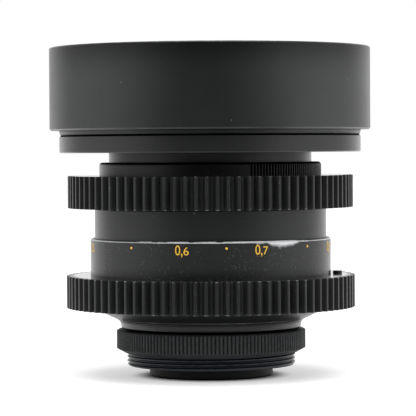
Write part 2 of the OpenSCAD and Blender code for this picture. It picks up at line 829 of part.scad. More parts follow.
module aperture_ring() {
  color([0.06, 0.06, 0.07])
    difference() {
      turned(concat(
        [
          [front_r + run, aperture_z], [gear_seat_r, aperture_z],
          [gear_seat_r, collar_z], [collar_r, collar_z]
        ],
        arc(collar_r - collar_round, collar_top_z - collar_round, collar_round, 0, 90, 6),
        [[front_r + run, collar_top_z]]
      ));
      translate([0, 0, collar_z - 1]) linear_extrude(collar_len + 2) polygon(comb_points());
      radial(drive_bearing, drive_z, front_r - 1, collar_r + 1, drive_r + fit);
      radial(drive_bearing, drive_z, gear_seat_r - 1.05, collar_r + 1, 1.3 + fit);
    }
}

gear_screw_bearing = 150;

module aperture_gear() {
  screw_z = aperture_z + gear_w / 2;
  color([0.07, 0.07, 0.08])
    difference() {
      rotate([0, 0, bearing(-1.4)]) gear(aperture_teeth, gear_seat_r + fit, aperture_z);
      radial(gear_screw_bearing, screw_z, gear_seat_r - 1, collar_r + 12, grub_r + fit);
    }
}

module aperture_gear_screw() {
  screw_z = aperture_z + gear_w / 2;
  end_r = gear_module * (aperture_teeth / 2 - 1.5);
  color([0.45, 0.45, 0.47])
    difference() {
      radial(gear_screw_bearing, screw_z, gear_seat_r + fit, end_r, grub_r);
      block(gear_screw_bearing, end_r - 0.5, end_r + 1, 0.3, screw_z - 1, screw_z + 1);
    }
}

// screw from the aperture ring through the barrel's slot into the cam ring's arm
module aperture_drive_screw() {
  seat_r = gear_seat_r - 1;
  color([0.45, 0.45, 0.47])
    difference() {
      union() {
        radial(drive_bearing, drive_z, arm_in_r + 0.3, seat_r + 0.2, drive_r);
        radial(drive_bearing, drive_z, seat_r, gear_seat_r - fit, 1.3);
      }
      block(drive_bearing, gear_seat_r - 0.4, gear_seat_r + 1, 0.35, drive_z - 2, drive_z + 2);
    }
}

// slotted ring that swings the blades, with an arm up to the aperture ring
module iris_cam_ring() {
  half_arm = 9;
  color([0.66, 0.60, 0.46])
    difference() {
      union() {
        ring(cam_in_r, cam_r, cam_z, cam_top_z);
        sector(drive_bearing - half_arm, drive_bearing + half_arm,
          arm_in_r, arm_out_r, cam_z + 0.4, hold_z - 0.15);
      }
      for (i = [0 : blades - 1])
        rotate([0, 0, 360 / blades * i - open_turn])
          translate([0, 0, cam_z - 1]) {
            linear_extrude(cam_top_z - cam_z + 2) polygon(slot_points());
            for (b = [0, blade_throw])
              translate([track(b)[0], track(b)[1], 0]) cylinder(h = cam_top_z - cam_z + 2, r = slot_r);
          }
      radial(drive_bearing, drive_z, arm_in_r - 1, arm_out_r + 1, drive_r + fit);
    }
}

// one blade at its own height, with a pivot pin below and a drive pin above
module iris_blade(i) {
  level_z = blade_z + i * blade_pitch;
  color([0.20, 0.20, 0.21])
    rotate([0, 0, 360 / blades * i])
      translate([pivot_r, 0, 0]) rotate([0, 0, blade_rest]) translate([-pivot_r, 0, 0]) {
        translate([0, 0, level_z]) linear_extrude(blade_t) polygon(blade_points());
        translate([pivot_r, 0, iris_z + 0.2]) cylinder(h = level_z - iris_z - 0.2 + blade_t / 2, r = pin_r);
        translate([pivot_r, pin_out, level_z + blade_t / 2])
          cylinder(h = cam_top_z - 0.2 - level_z - blade_t / 2, r = pin_r);
      }
}

module iris_blade_1() { iris_blade(0); }
module iris_blade_2() { iris_blade(1); }
module iris_blade_3() { iris_blade(2); }
module iris_blade_4() { iris_blade(3); }
module iris_blade_5() { iris_blade(4); }
module iris_blade_6() { iris_blade(5); }
module iris_blade_7() { iris_blade(6); }
module iris_blade_8() { iris_blade(7); }

thread_sleeve();
mount_ring();
mount_barrel();
bearing_ring();
guide_keys();
key_screws();
focus_stop_pin();
focus_ring();
focus_gear();
focus_helicoid();
focus_grub_screws();
gear_lock_screw();
main_tube();
outer_barrel();
barrel_screws();
front_barrel();
front_cell();
front_element();
front_crown();
front_flint();
doublet_ring();
front_retaining_ring();
front_trim_ring();
iris_housing();
rear_cell();
rear_flint();
rear_crown();
rear_spacer();
rear_element();
rear_retaining_ring();
step_up_ring();
hood();
aperture_ring();
aperture_gear();
aperture_gear_screw();
aperture_drive_screw();
iris_cam_ring();
iris_blade_1();
iris_blade_2();
iris_blade_3();
iris_blade_4();
iris_blade_5();
iris_blade_6();
iris_blade_7();
iris_blade_8();
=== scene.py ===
"""Looks of the cinema prime lens.

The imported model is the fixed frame. Finer meshes stand in for the two gear rings, the threaded sleeve and
the glass, painted scales are added, every surface gets its finish, and the studio of the photograph is set
up around the lens. Sizes are millimetres and angles degrees, unless a name or a comment says otherwise.
Bearings go round the lens from the side that the photograph shows, growing to the right.
"""

import logging
import math
from dataclasses import dataclass, field, replace
from enum import Enum
from typing import Callable, ClassVar, Sequence, Union

import bmesh
import bpy
from mathutils import Euler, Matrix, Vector

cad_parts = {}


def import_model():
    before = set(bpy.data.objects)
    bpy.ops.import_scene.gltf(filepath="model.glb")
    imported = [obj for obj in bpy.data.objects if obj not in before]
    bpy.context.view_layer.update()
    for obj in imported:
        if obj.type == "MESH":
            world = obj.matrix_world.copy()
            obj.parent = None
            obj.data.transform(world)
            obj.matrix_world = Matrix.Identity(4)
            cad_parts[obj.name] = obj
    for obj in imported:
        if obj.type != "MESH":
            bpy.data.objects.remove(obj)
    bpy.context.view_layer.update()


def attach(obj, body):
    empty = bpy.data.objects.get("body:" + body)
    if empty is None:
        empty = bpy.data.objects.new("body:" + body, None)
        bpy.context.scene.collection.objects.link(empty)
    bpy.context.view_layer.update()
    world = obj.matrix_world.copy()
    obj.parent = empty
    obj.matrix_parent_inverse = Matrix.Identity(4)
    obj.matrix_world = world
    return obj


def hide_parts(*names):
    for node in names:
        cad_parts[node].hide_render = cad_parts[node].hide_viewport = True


MM = 0.001
LOG = logging.getLogger("cinema_lens")

Colour = tuple[float, float, float]
Thing = bpy.types.Object
Material = bpy.types.Material
Tree = bpy.types.NodeTree
Node = bpy.types.Node
Socket = bpy.types.NodeSocket
Value = Union[Socket, float]
Point = tuple[float, float]

ORIGIN = (0.0, 0.0, 0.0)
AXIS = (0.0, 0.0, 1.0)
WHITE = (1.0, 1.0, 1.0, 1.0)
# colour of painted shade; with the metallic value full it reflects nothing
SHADE_BLACK = (0.0004, 0.0004, 0.0004)
SHADE_ROUGHNESS = 0.9
DUST_ROUGHNESS = 0.8
TONE_ROUGHNESS = 0.08  # how far the roughness follows the tone, either way
NOISE_SPAN = (0.3, 0.7)  # nearly all values of a noise lie within
LEVEL_SPAN = (0.85, 0.98)  # upright part of the normal where a face begins to count as level, and does
LEVEL_RELIEF = 0.1  # share of the relief that is left on level faces
DRILL_SIDES = 24
DOT_SIDES = 20
LETTER_STEPS = 5
POLISH_STEPS = 30
PRESSURE_ANGLE = math.radians(20.0)
HAIR = 1e-6  # metres within which two places count as one


class Body(Enum):
    """Bodies of the lens that a new piece can ride on."""

    MOUNT = "mount"
    FOCUS = "focus"
    OPTICS = "optics"
    APERTURE = "aperture"


class Slot(Enum):
    """Names of the record's material slots."""

    GEAR = "gear_black"
    THREAD = "thread_steel"
    FOCUS_RING = "scale_black"
    BARREL = "anodised_black"
    GLASS = "coated_glass"


class Effect(Enum):
    """Shared surface effects, each one shader node group."""

    GRAIN = "fine_grain"
    TURNED = "turned_lines"
    DUST = "dust_specks"
    RIM = "rim_wear"
    CREST = "crest_rub"
    SEAM = "seam_grime"
    HOLLOW = "hollow_grime"
    SHADE = "axial_shade"


class Pick(Enum):
    """Parts of a mesh that can be selected."""

    EDGE = "EDGE"
    FACE = "FACE"


def around(bearing: float, radius: float, height: float) -> Vector:
    """Gives a point in metres from a bearing in degrees and a radius and height in millimetres."""
    turn = math.radians(bearing - 90.0)
    return Vector((radius * math.cos(turn), radius * math.sin(turn), height)) * MM


class Sheet:
    """Adds and links the nodes of one shader tree."""

    def __init__(self, tree: Tree) -> None:
        """Takes the tree to write in."""
        self.tree = tree

    def add(self, kind: str, **settings: object) -> Node:
        """Adds a node.

        Args:
            kind: Blender's name for the node type.
            settings: Properties of the node to set.

        Returns:
            The new node.
        """
        node = self.tree.nodes.new(kind)
        for name, value in settings.items():
            setattr(node, name, value)
        return node

    def put(self, value: object, socket: Socket) -> None:
        """Links a socket to an input, or writes a number or colour into it."""
        if isinstance(value, Socket):
            self.tree.links.new(value, socket)
        else:
            socket.default_value = value

    def math(self, operation: str, a: Value, b: Value = 0.0) -> Socket:
        """Adds a Math node.

        Args:
            operation: The node's operation.
            a: First socket or number.
            b: Second socket or number.

        Returns:
            The result's socket.
        """
        node = self.add("ShaderNodeMath", operation=operation)
        self.put(a, node.inputs[0])
        self.put(b, node.inputs[1])
        return node.outputs[0]

    def plus(self, a: Value, b: Value) -> Socket:
        """Adds two values."""
        return self.math("ADD", a, b)

    def minus(self, a: Value, b: Value) -> Socket:
        """Takes the second value from the first."""
        return self.math("SUBTRACT", a, b)

    def times(self, a: Value, b: Value) -> Socket:
        """Multiplies two values."""
        return self.math("MULTIPLY", a, b)

    def over(self, a: Value, b: Value) -> Socket:
        """Divides the first value by the second."""
        return self.math("DIVIDE", a, b)

    def larger(self, a: Value, b: Value) -> Socket:
        """Gives the larger of two values."""
        return self.math("MAXIMUM", a, b)

    def length(self, a: Value, b: Value) -> Socket:
        """Gives the length of a step that has two legs at right angles."""
        return self.math("SQRT", self.plus(self.times(a, a), self.times(b, b)))

    def ramp(
        self, value: Value, low: Value, high: Value, first: Value = 0.0, last: Value = 1.0
    ) -> Socket:
        """Maps a value smoothly from one range to another.

        Args:
            value: What is mapped.
            low: Start of its range.
            high: End of its range.
            first: Result at the start.
            last: Result at the end.

        Returns:
            The mapped value's socket.
        """
        node = self.add("ShaderNodeMapRange", interpolation_type="SMOOTHSTEP")
        for index, entry in enumerate((value, low, high, first, last)):
            self.put(entry, node.inputs[index])
        return node.outputs[0]

    def ease(self, share: Value, first: Value, last: Value) -> Socket:
        """Goes smoothly from a first value to a last one as a share goes from 0 to 1."""
        return self.ramp(share, 0.0, 1.0, first, last)

    def noise(self, vector: Socket, detail: float = 2.0, roughness: float = 0.55) -> Socket:
        """Adds a Noise texture at scale 1 and gives its value."""
        node = self.add("ShaderNodeTexNoise")
        self.put(vector, node.inputs["Vector"])
        node.inputs["Scale"].default_value = 1.0
        node.inputs["Detail"].default_value = detail
        node.inputs["Roughness"].default_value = roughness
        return node.outputs["Fac"]

    def place(self) -> Socket:
        """Gives the object coordinates, which are metres in the lens's frame."""
        return self.add("ShaderNodeTexCoord").outputs["Object"]

    def split(self, vector: Socket) -> tuple[Socket, ...]:
        """Splits a vector into x, y and z."""
        node = self.add("ShaderNodeSeparateXYZ")
        self.put(vector, node.inputs[0])
        return tuple(node.outputs)

    def shrink(self, vector: Socket, size: Value) -> Socket:
        """Divides a vector by a size in metres."""
        node = self.add("ShaderNodeVectorMath", operation="SCALE")
        self.put(vector, node.inputs[0])
        self.put(self.over(1.0, size), node.inputs["Scale"])
        return node.outputs[0]

    def polar(self, vector: Socket) -> tuple[Socket, ...]:
        """Splits a place into x, y, z and the distance from the optical axis."""
        x, y, z = self.split(vector)
        return x, y, z, self.length(x, y)

    def blend(self, share: Value, a: object, b: object) -> Socket:
        """Mixes two colours.

        Args:
            share: How much of the second shows.
            a: First colour or socket.
            b: Second colour or socket.

        Returns:
            The mixed colour's socket.
        """
        node = self.add("ShaderNodeMix", data_type="RGBA")
        self.put(share, node.inputs[0])
        for entry, index in ((a, 6), (b, 7)):
            self.put((*entry, 1.0) if isinstance(entry, tuple) else entry, node.inputs[index])
        return node.outputs[2]

    def relief(self, height: Value, shader: Node) -> None:
        """Leads a height in millimetres to a shader's normal."""
        node = self.add("ShaderNodeBump")
        node.inputs["Strength"].default_value = 1.0
        node.inputs["Distance"].default_value = MM
        self.put(height, node.inputs["Height"])
        self.put(node.outputs[0], shader.inputs["Normal"])

    def effect(self, kind: Effect, **values: float) -> Node:
        """Places a shared effect with its own values.

        Args:
            kind: Which effect.
            values: Inputs by name, with underscores for spaces.

        Returns:
            The group node.
        """
        node = self.add("ShaderNodeGroup", node_tree=EffectShop.get(kind))
        for name, value in values.items():
            node.inputs[name.replace("_", " ").title()].default_value = value
        return node

    def mask(self, kind: Effect, **values: float) -> Socket:
        """Places a shared effect with its own values and gives its mask."""
        return self.effect(kind, **values).outputs["Mask"]


def start_material(name: str) -> tuple[Material, Sheet, Node]:
    """Starts a material and gives it with its sheet and its shader."""
    material = bpy.data.materials.new(name)
    material.use_nodes = True
    return material, Sheet(material.node_tree), material.node_tree.nodes["Principled BSDF"]


class EffectShop:
    """Builds the shared effects once and keeps them."""

    made: dict[Effect, Tree] = {}

    @classmethod
    def get(cls, kind: Effect) -> Tree:
        """Gives the node group of an effect, built on its first use by the method of its name."""
        if kind not in cls.made:
            cls.made[kind] = getattr(cls, kind.name.lower())()
        return cls.made[kind]

    @staticmethod
    def blank(
        kind: Effect, inputs: Sequence[str], outputs: Sequence[str] = ("Mask",)
    ) -> tuple[Sheet, dict[str, Socket], dict[str, Socket]]:
        """Starts a group.

        Args:
            kind: The effect, whose value names the group.
            inputs: Names of its number inputs.
            outputs: Names of its number outputs.

        Returns:
            A sheet on the group's tree, and its input and output sockets by name.
        """
        tree = bpy.data.node_groups.new(kind.value, "ShaderNodeTree")
        for way, names in (("INPUT", inputs), ("OUTPUT", outputs)):
            for name in names:
                tree.interface.new_socket(name=name, in_out=way, socket_type="NodeSocketFloat")
        sheet = Sheet(tree)
        entry = sheet.add("NodeGroupInput")
        leave = sheet.add("NodeGroupOutput")
        given = {name: entry.outputs[name] for name in inputs}
        return sheet, given, {name: leave.inputs[name] for name in outputs}

    @staticmethod
    def ring_gap(sheet: Sheet, place: Socket, given: dict[str, Socket]) -> Socket:
        """Gives a place's distance from the circle at a group's given radius and height."""
        _, _, height, radius = sheet.polar(place)
        return sheet.length(sheet.minus(radius, given["Radius"]), sheet.minus(height, given["Height"]))

    @classmethod
    def grain(cls) -> Tree:
        """Fine blasted grain with broad cloudy tone."""
        cloud_grains, fine_share, detail = 45.0, 0.55, 3.0
        sheet, given, out = cls.blank(Effect.GRAIN, ["Size"], ["Tone", "Height"])
        place = sheet.place()
        fine = sheet.noise(sheet.shrink(place, given["Size"]), detail)
        broad = sheet.noise(sheet.shrink(place, sheet.times(given["Size"], cloud_grains)), detail)
        tone = sheet.plus(sheet.times(fine, fine_share), sheet.times(broad, 1.0 - fine_share))
        sheet.put(sheet.ramp(tone, *NOISE_SPAN), out["Tone"])
        sheet.put(fine, out["Height"])
        return sheet.tree

    @classmethod
    def turned(cls) -> Tree:
        """Rings left by the lathe, round the optical axis."""
        detail = 1.0
        sheet, given, out = cls.blank(Effect.TURNED, ["Pitch"], ["Tone", "Height"])
        _, _, height, radius = sheet.polar(sheet.place())
        pair = sheet.add("ShaderNodeCombineXYZ")
        sheet.put(sheet.over(radius, given["Pitch"]), pair.inputs[0])
        sheet.put(sheet.over(height, given["Pitch"]), pair.inputs[1])
        line = sheet.noise(pair.outputs[0], detail)
        sheet.put(sheet.ramp(line, *NOISE_SPAN), out["Tone"])
        sheet.put(line, out["Height"])
        return sheet.tree

    @classmethod
    def dust(cls) -> Tree:
        """Scattered pale specks that gather in patches."""
        patch_specks, patch_span, least, spread, core = 14.0, (0.38, 0.66), 0.08, 0.24, 0.45
        sheet, given, out = cls.blank(Effect.DUST, ["Size", "Share"])
        place = sheet.place()
        cells = sheet.add("ShaderNodeTexVoronoi", feature="F1")
        sheet.put(sheet.shrink(place, given["Size"]), cells.inputs["Vector"])
        cells.inputs["Scale"].default_value = 1.0
        chance = sheet.add("ShaderNodeSeparateColor")
        sheet.put(cells.outputs["Color"], chance.inputs[0])
        cloud = sheet.noise(sheet.shrink(place, sheet.times(given["Size"], patch_specks)))
        limit = sheet.minus(1.0, sheet.times(given["Share"], sheet.ramp(cloud, *patch_span)))
        kept = sheet.math("GREATER_THAN", chance.outputs[0], limit)
        reach = sheet.plus(sheet.times(chance.outputs[1], spread), least)
        speck = sheet.ramp(cells.outputs["Distance"], reach, sheet.times(reach, core))
        sheet.put(sheet.times(kept, speck), out["Mask"])
        return sheet.tree

    @classmethod
    def rim(cls) -> Tree:
        """Bare metal along a round edge, in uneven chips, heavier on one side; some finishes use it for a
        painted highlight line.
        """
        far_side, widest, chip_span, detail, roughness = 0.12, 1.5, (0.34, 0.72), 5.0, 0.68
        sheet, given, out = cls.blank(
            Effect.RIM, ["Radius", "Height", "Width", "Chip", "Side X", "Side Y", "Spread", "Least"]
        )
        place = sheet.place()
        x, y, _, radius = sheet.polar(place)
        facing = sheet.plus(sheet.times(x, given["Side X"]), sheet.times(y, given["Side Y"]))
        weight = sheet.ramp(sheet.over(facing, radius), given["Spread"], 1.0, far_side, 1.0)
        chips = sheet.noise(sheet.shrink(place, given["Chip"]), detail, roughness)
        share = sheet.ramp(chips, *chip_span, given["Least"], widest)
        reach = sheet.times(sheet.times(given["Width"], weight), share)
        sheet.put(sheet.ramp(cls.ring_gap(sheet, place, given), reach, 0.0), out["Mask"])
        return sheet.tree

    @classmethod
    def crest(cls) -> Tree:
        """Rubbed metal on what stands furthest out from the axis."""
        none_bare, swing, soft, detail, roughness = 0.78, 0.56, 0.07, 4.0, 0.65
        sheet, given, out = cls.blank(Effect.CREST, ["Radius", "Depth", "Chip", "Share"])
        place = sheet.place()
        _, _, _, radius = sheet.polar(place)
        near = sheet.ramp(radius, sheet.minus(given["Radius"], given["Depth"]), given["Radius"])
        chips = sheet.noise(sheet.shrink(place, given["Chip"]), detail, roughness)
        limit = sheet.minus(none_bare, sheet.times(given["Share"], swing))
        rubbed = sheet.ramp(chips, sheet.minus(limit, soft), sheet.plus(limit, soft))
        sheet.put(sheet.times(near, rubbed), out["Mask"])
        return sheet.tree

    @classmethod
    def seam(cls) -> Tree:
        """Painted shade that sits in a round groove."""
        cloud_size, reach_span, core = 1.5 * MM, (0.96, 1.04), 0.7
        sheet, given, out = cls.blank(Effect.SEAM, ["Radius", "Height", "Reach"])
        place = sheet.place()
        cloud = sheet.noise(sheet.shrink(place, cloud_size))
        reach = sheet.times(given["Reach"], sheet.ramp(cloud, *NOISE_SPAN, *reach_span))
        gap = cls.ring_gap(sheet, place, given)
        sheet.put(sheet.ramp(gap, reach, sheet.times(reach, core)), out["Mask"])
        return sheet.tree

    @classmethod
    def hollow(cls) -> Tree:
        """Painted shade that sits below the crests of a knurl."""
        cloud_size, depth_span = 1.2 * MM, (0.8, 1.2)
        sheet, given, out = cls.blank(Effect.HOLLOW, ["Radius", "Depth", "Low", "High"])
        place = sheet.place()
        _, _, height, radius = sheet.polar(place)
        cloud = sheet.noise(sheet.shrink(place, cloud_size))
        deep = sheet.times(given["Depth"], sheet.ramp(cloud, *NOISE_SPAN, *depth_span))
        grime = sheet.ramp(radius, given["Radius"], sheet.minus(given["Radius"], deep))
        above = sheet.math("GREATER_THAN", height, given["Low"])
        inside = sheet.times(above, sheet.math("LESS_THAN", height, given["High"]))
        sheet.put(sheet.times(grime, inside), out["Mask"])
        return sheet.tree

    @classmethod
    def shade(cls) -> Tree:
        """Painted shade that deepens smoothly along the optical axis."""
        sheet, given, out = cls.blank(Effect.SHADE, ["Low", "High", "Share"])
        _, _, height = sheet.split(sheet.place())
        sheet.put(sheet.ramp(height, given["Low"], given["High"], 0.0, given["Share"]), out["Mask"])
        return sheet.tree


class Mark:
    """A masked place on a surface, whose fields are the inputs of its effect."""

    kind: ClassVar[Effect]
    ratios: ClassVar[tuple[str, ...]] = ("share", "least")

    def values(self) -> dict[str, float]:
        """Gives the effect's inputs: ratios as they are, sizes in metres."""
        return {name: value * (1.0 if name in self.ratios else MM) for name, value in vars(self).items()}

    def mask(self, sheet: Sheet) -> Socket:
        """Places the effect and gives its mask."""
        return sheet.mask(self.kind, **self.values())


@dataclass(frozen=True)
class RimWearAndHighlight(Mark):
    """Wear along one round edge; some finishes use it for a painted highlight line instead.

    Attributes:
        radius: Radius of the edge.
        height: Height of the edge.
        width: Widest bare band.
        chip: Size of the chips.
        side: Bearing of the most worn side.
        spread: Half angle of that side; 180 wears it all round.
        least: Share of the width that is bare everywhere on that side.
    """

    kind = Effect.RIM
    radius: float
    height: float
    width: float
    chip: float
    side: float = 0.0
    spread: float = 180.0
    least: float = 0.0

    def values(self) -> dict[str, float]:
        """Gives the effect's inputs, with the worn side as a direction and its spread as a cosine."""
        inputs = super().values()
        del inputs["side"]
        side = around(self.side, 1.0 / MM, 0.0)
        spread = math.cos(math.radians(self.spread))
        return {**inputs, "side_x": side.x, "side_y": side.y, "spread": spread}


@dataclass(frozen=True)
class CrestRub(Mark):
    """Rubbed crests.

    Attributes:
        radius: Radius of the crests.
        depth: How far in the rubbing fades.
        chip: Size of the rubbed spots.
        share: Share of the crests that is bare.
    """

    kind = Effect.CREST
    radius: float
    depth: float
    chip: float
    share: float


@dataclass(frozen=True)
class ShadedSeam(Mark):
    """A round groove filled with painted shade.

    Attributes:
        radius: Radius of the groove.
        height: Height of the groove.
        reach: How far the painted shade reaches round the groove's middle.
    """

    kind = Effect.SEAM
    radius: float
    height: float
    reach: float


@dataclass(frozen=True)
class ShadedHollow(Mark):
    """Painted shade in the grooves of a knurl.

    Attributes:
        radius: Radius of the knurl's crests.
        depth: Depth at which the painted shade is full.
        low: Lower end of the knurl.
        high: Upper end of the knurl.
    """

    kind = Effect.HOLLOW
    radius: float
    depth: float
    low: float
    high: float


@dataclass(frozen=True)
class PaintedShade(Mark):
    """A band of painted shade that deepens along the optical axis.

    Attributes:
        low: Height where the painted shade begins.
        high: Height where it is darkest.
        share: How much of the surface it hides there.
    """

    kind = Effect.SHADE
    low: float
    high: float
    share: float


@dataclass(frozen=True)
class MetalFinish:
    """A machined metal surface, bare or anodised.

    Attributes:
        name: Name of the material.
        colour: Linear colour of the surface.
        roughness: Roughness where it is not worn.
        metallic: Metallic value where it is not worn.
        gloss: Specular level.
        swing: How far the tone varies either way.
        grain: Size of the grain.
        grain_depth: Depth of the grain.
        pitch: Spacing of the lathe's lines.
        line_depth: Depth of those lines.
        lines: Share of those lines in the tone.
        faced: Roughness of the flat faces across the axis, or 0 where they are like the rest.
        dust: Share of the surface's cells that hold a speck.
        dust_size: Spacing of the specks.
        dust_colour: Linear colour of the specks.
        wear: Worn edges and rubbed crests, and painted highlight lines along some edges.
        grime: Grooves and knurls filled with painted shade.
        films: Bands of painted shade that deepen along the optical axis.
        bare: Linear colour of the bare metal under the finish, also the tone of painted highlight lines.
        bare_roughness: Roughness of the bare metal.
        bare_metallic: Metallic value of the bare metal.
    """

    name: str
    colour: Colour
    roughness: float
    metallic: float = 0.0
    gloss: float = 0.5
    swing: float = 0.14
    grain: float = 0.16
    grain_depth: float = 0.002
    pitch: float = 0.14
    line_depth: float = 0.0015
    lines: float = 0.4
    faced: float = 0.0
    dust: float = 0.0
    dust_size: float = 0.55
    dust_colour: Colour = (0.22, 0.22, 0.22)
    wear: tuple[Union[RimWearAndHighlight, CrestRub], ...] = ()
    grime: tuple[Union[ShadedSeam, ShadedHollow], ...] = ()
    films: tuple[PaintedShade, ...] = ()
    bare: Colour = (0.62, 0.63, 0.65)
    bare_roughness: float = 0.42
    bare_metallic: float = 0.35

    @staticmethod
    def most(sheet: Sheet, places: Sequence[Mark]) -> Socket:
        """Masks all of these places together."""
        total, *others = [place.mask(sheet) for place in places]
        for mask in others:
            total = sheet.larger(total, mask)
        return total

    @staticmethod
    def level(sheet: Sheet) -> Socket:
        """Masks the faces that lie across the optical axis."""
        _, _, upright = sheet.split(sheet.add("ShaderNodeTexCoord").outputs["Normal"])
        return sheet.ramp(sheet.math("ABSOLUTE", upright), *LEVEL_SPAN)

    def material(self) -> Material:
        """Builds the material of this finish."""
        material, sheet, shader = start_material(self.name)
        shader.inputs["Specular IOR Level"].default_value = self.gloss
        grain = sheet.effect(Effect.GRAIN, size=self.grain * MM).outputs
        turned = sheet.effect(Effect.TURNED, pitch=self.pitch * MM).outputs
        tone = sheet.plus(
            sheet.times(grain["Tone"], 1.0 - self.lines), sheet.times(turned["Tone"], self.lines)
        )
        height = sheet.plus(
            sheet.times(grain["Height"], self.grain_depth), sheet.times(turned["Height"], self.line_depth)
        )
        dark = tuple(part * (1.0 - self.swing) for part in self.colour)
        light = tuple(min(1.0, part * (1.0 + self.swing)) for part in self.colour)
        colour = sheet.blend(tone, dark, light)
        rough = sheet.ease(
            tone, self.roughness * (1.0 + TONE_ROUGHNESS), self.roughness * (1.0 - TONE_ROUGHNESS)
        )
        metal: Value = self.metallic
        if self.faced:
            level = self.level(sheet)
            rough = sheet.ease(level, rough, self.faced)
            height = sheet.times(height, sheet.ease(level, 1.0, LEVEL_RELIEF))
        if self.dust:
            specks = sheet.mask(Effect.DUST, size=self.dust_size * MM, share=self.dust)
            colour = sheet.blend(specks, colour, self.dust_colour)
            rough = sheet.ease(specks, rough, DUST_ROUGHNESS)
        # painted shade: the colour goes black and the metallic value full, so the band reflects nothing
        for painted_band in self.films:
            dim = painted_band.mask(sheet)
            colour = sheet.blend(dim, colour, SHADE_BLACK)
            metal = sheet.ease(dim, metal, 1.0)
        # bare metal where worn, and a painted highlight where a band stands for an edge catching the light
        if self.wear:
            wear_highlight_mask = self.most(sheet, self.wear)
            colour = sheet.blend(wear_highlight_mask, colour, self.bare)
            rough = sheet.ease(wear_highlight_mask, rough, self.bare_roughness)
            metal = sheet.ease(wear_highlight_mask, metal, self.bare_metallic)
        # painted shade in grooves: black, and with the metallic value full it reflects nothing
        if self.grime:
            groove_shade_mask = self.most(sheet, self.grime)
            colour = sheet.blend(groove_shade_mask, colour, SHADE_BLACK)
            rough = sheet.ease(groove_shade_mask, rough, SHADE_ROUGHNESS)
            metal = sheet.ease(groove_shade_mask, metal, 1.0)
        sheet.put(colour, shader.inputs["Base Color"])
        sheet.put(rough, shader.inputs["Roughness"])
        sheet.put(metal, shader.inputs["Metallic"])
        sheet.relief(height, shader)
        return material


@dataclass(frozen=True)
class GlassFinish:
    """Optical glass with a coating, faintly smeared and dusty.

    Attributes:
        name: Name of the material.
        index: Index of refraction.
        coating: Linear tint of its reflections.
        clear: Linear colour of the clean glass.
        dull: Linear colour of the smeared glass.
        cloud: Size of the smears.
        smear: Highest roughness of the smears.
        smear_span: Values of the smears' noise where they begin and are strongest.
        dust: Share of the surface's cells that hold a speck.
        dust_size: Spacing of the specks.
        dust_roughness: Roughness of the specks.
    """

    name: str
    index: float = 1.62
    coating: Colour = (0.18, 0.135, 0.34)
    clear: Colour = (0.97, 0.985, 0.98)
    dull: Colour = (0.94, 0.965, 0.955)
    cloud: float = 9.0
    smear: float = 0.05
    smear_span: Point = (0.5, 0.8)
    dust: float = 0.03
    dust_size: float = 1.1
    dust_roughness: float = 0.5

    def material(self) -> Material:
        """Builds the material of this glass."""
        material, sheet, shader = start_material(self.name)
        detail, roughness = 4.0, 0.6
        cloud = sheet.noise(sheet.shrink(sheet.place(), self.cloud * MM), detail, roughness)
        smears = sheet.ramp(cloud, *self.smear_span, 0.0, self.smear)
        specks = sheet.mask(Effect.DUST, size=self.dust_size * MM, share=self.dust)
        haze = sheet.larger(smears, sheet.times(specks, self.dust_roughness))
        sheet.put(haze, shader.inputs["Roughness"])
        sheet.put(sheet.blend(cloud, self.clear, self.dull), shader.inputs["Base Color"])
        shader.inputs["IOR"].default_value = self.index
        shader.inputs["Transmission Weight"].default_value = 1.0
        shader.inputs["Specular Tint"].default_value = (*self.coating, 1.0)
        return material


@dataclass(frozen=True)
class PaintFinish:
    """Matt paint filled into a mark, a little uneven and chipped.

    Attributes:
        name: Name of the material.
        colour: Linear colour of the paint.
        ground: Linear colour that shows in its chips.
        fade: Brightness of its dullest grains.
        grain: Size of the grain.
        grain_depth: Depth of the grain.
        roughness: Roughness of its dullest and its brightest grains.
        chips: Share of the surface's cells that hold a chip.
        chip_size: Spacing of the chips.
    """

    name: str
    colour: Colour
    ground: Colour = (0.03, 0.026, 0.02)
    fade: float = 0.8
    grain: float = 0.12
    grain_depth: float = 0.01
    roughness: Point = (0.62, 0.5)
    chips: float = 0.12
    chip_size: float = 0.35

    def material(self) -> Material:
        """Builds the material of this paint."""
        material, sheet, shader = start_material(self.name)
        grain = sheet.effect(Effect.GRAIN, size=self.grain * MM).outputs
        chips = sheet.mask(Effect.DUST, size=self.chip_size * MM, share=self.chips)
        faded = tuple(part * self.fade for part in self.colour)
        colour = sheet.blend(grain["Tone"], faded, self.colour)
        sheet.put(sheet.blend(chips, colour, self.ground), shader.inputs["Base Color"])
        sheet.put(sheet.ease(grain["Tone"], *self.roughness), shader.inputs["Roughness"])
        sheet.relief(sheet.times(grain["Height"], self.grain_depth), shader)
        return material


Finish = Union[MetalFinish, GlassFinish, PaintFinish]

SATIN_BLACK = MetalFinish("satin_black", (0.0128, 0.0136, 0.0133), 0.26, gloss=0.43, dust=0.012)
MATT_BLACK = MetalFinish("matt_black", (0.0232, 0.0245, 0.0243), 0.26, gloss=0.25, dust=0.012)
MOUNT_BLACK = MetalFinish("mount_black", (0.009, 0.0095, 0.0096), 0.3, dust=0.015)
HOOD_BLACK = replace(
    SATIN_BLACK, name="hood_black", colour=(0.0066, 0.0084, 0.0081), roughness=0.36, gloss=0.58, swing=0.6,
    # painted shade: the hood darkens towards its mouth
    grain=0.3, grain_depth=0.005, lines=0.12, line_depth=0.0, films=(PaintedShade(72.0, 82.5, 0.5),),
    # painted highlight: the band along the lower chamfer at 61.4 brightens the chamfer's own reflection, in
    # the bare colour below; the band along the mouth is wear
    wear=(RimWearAndHighlight(39.8, 81.75, 0.3, 1.6), RimWearAndHighlight(39.8, 61.4, 0.32, 6.0)),
    bare=(0.055, 0.055, 0.056), bare_roughness=0.3,
)
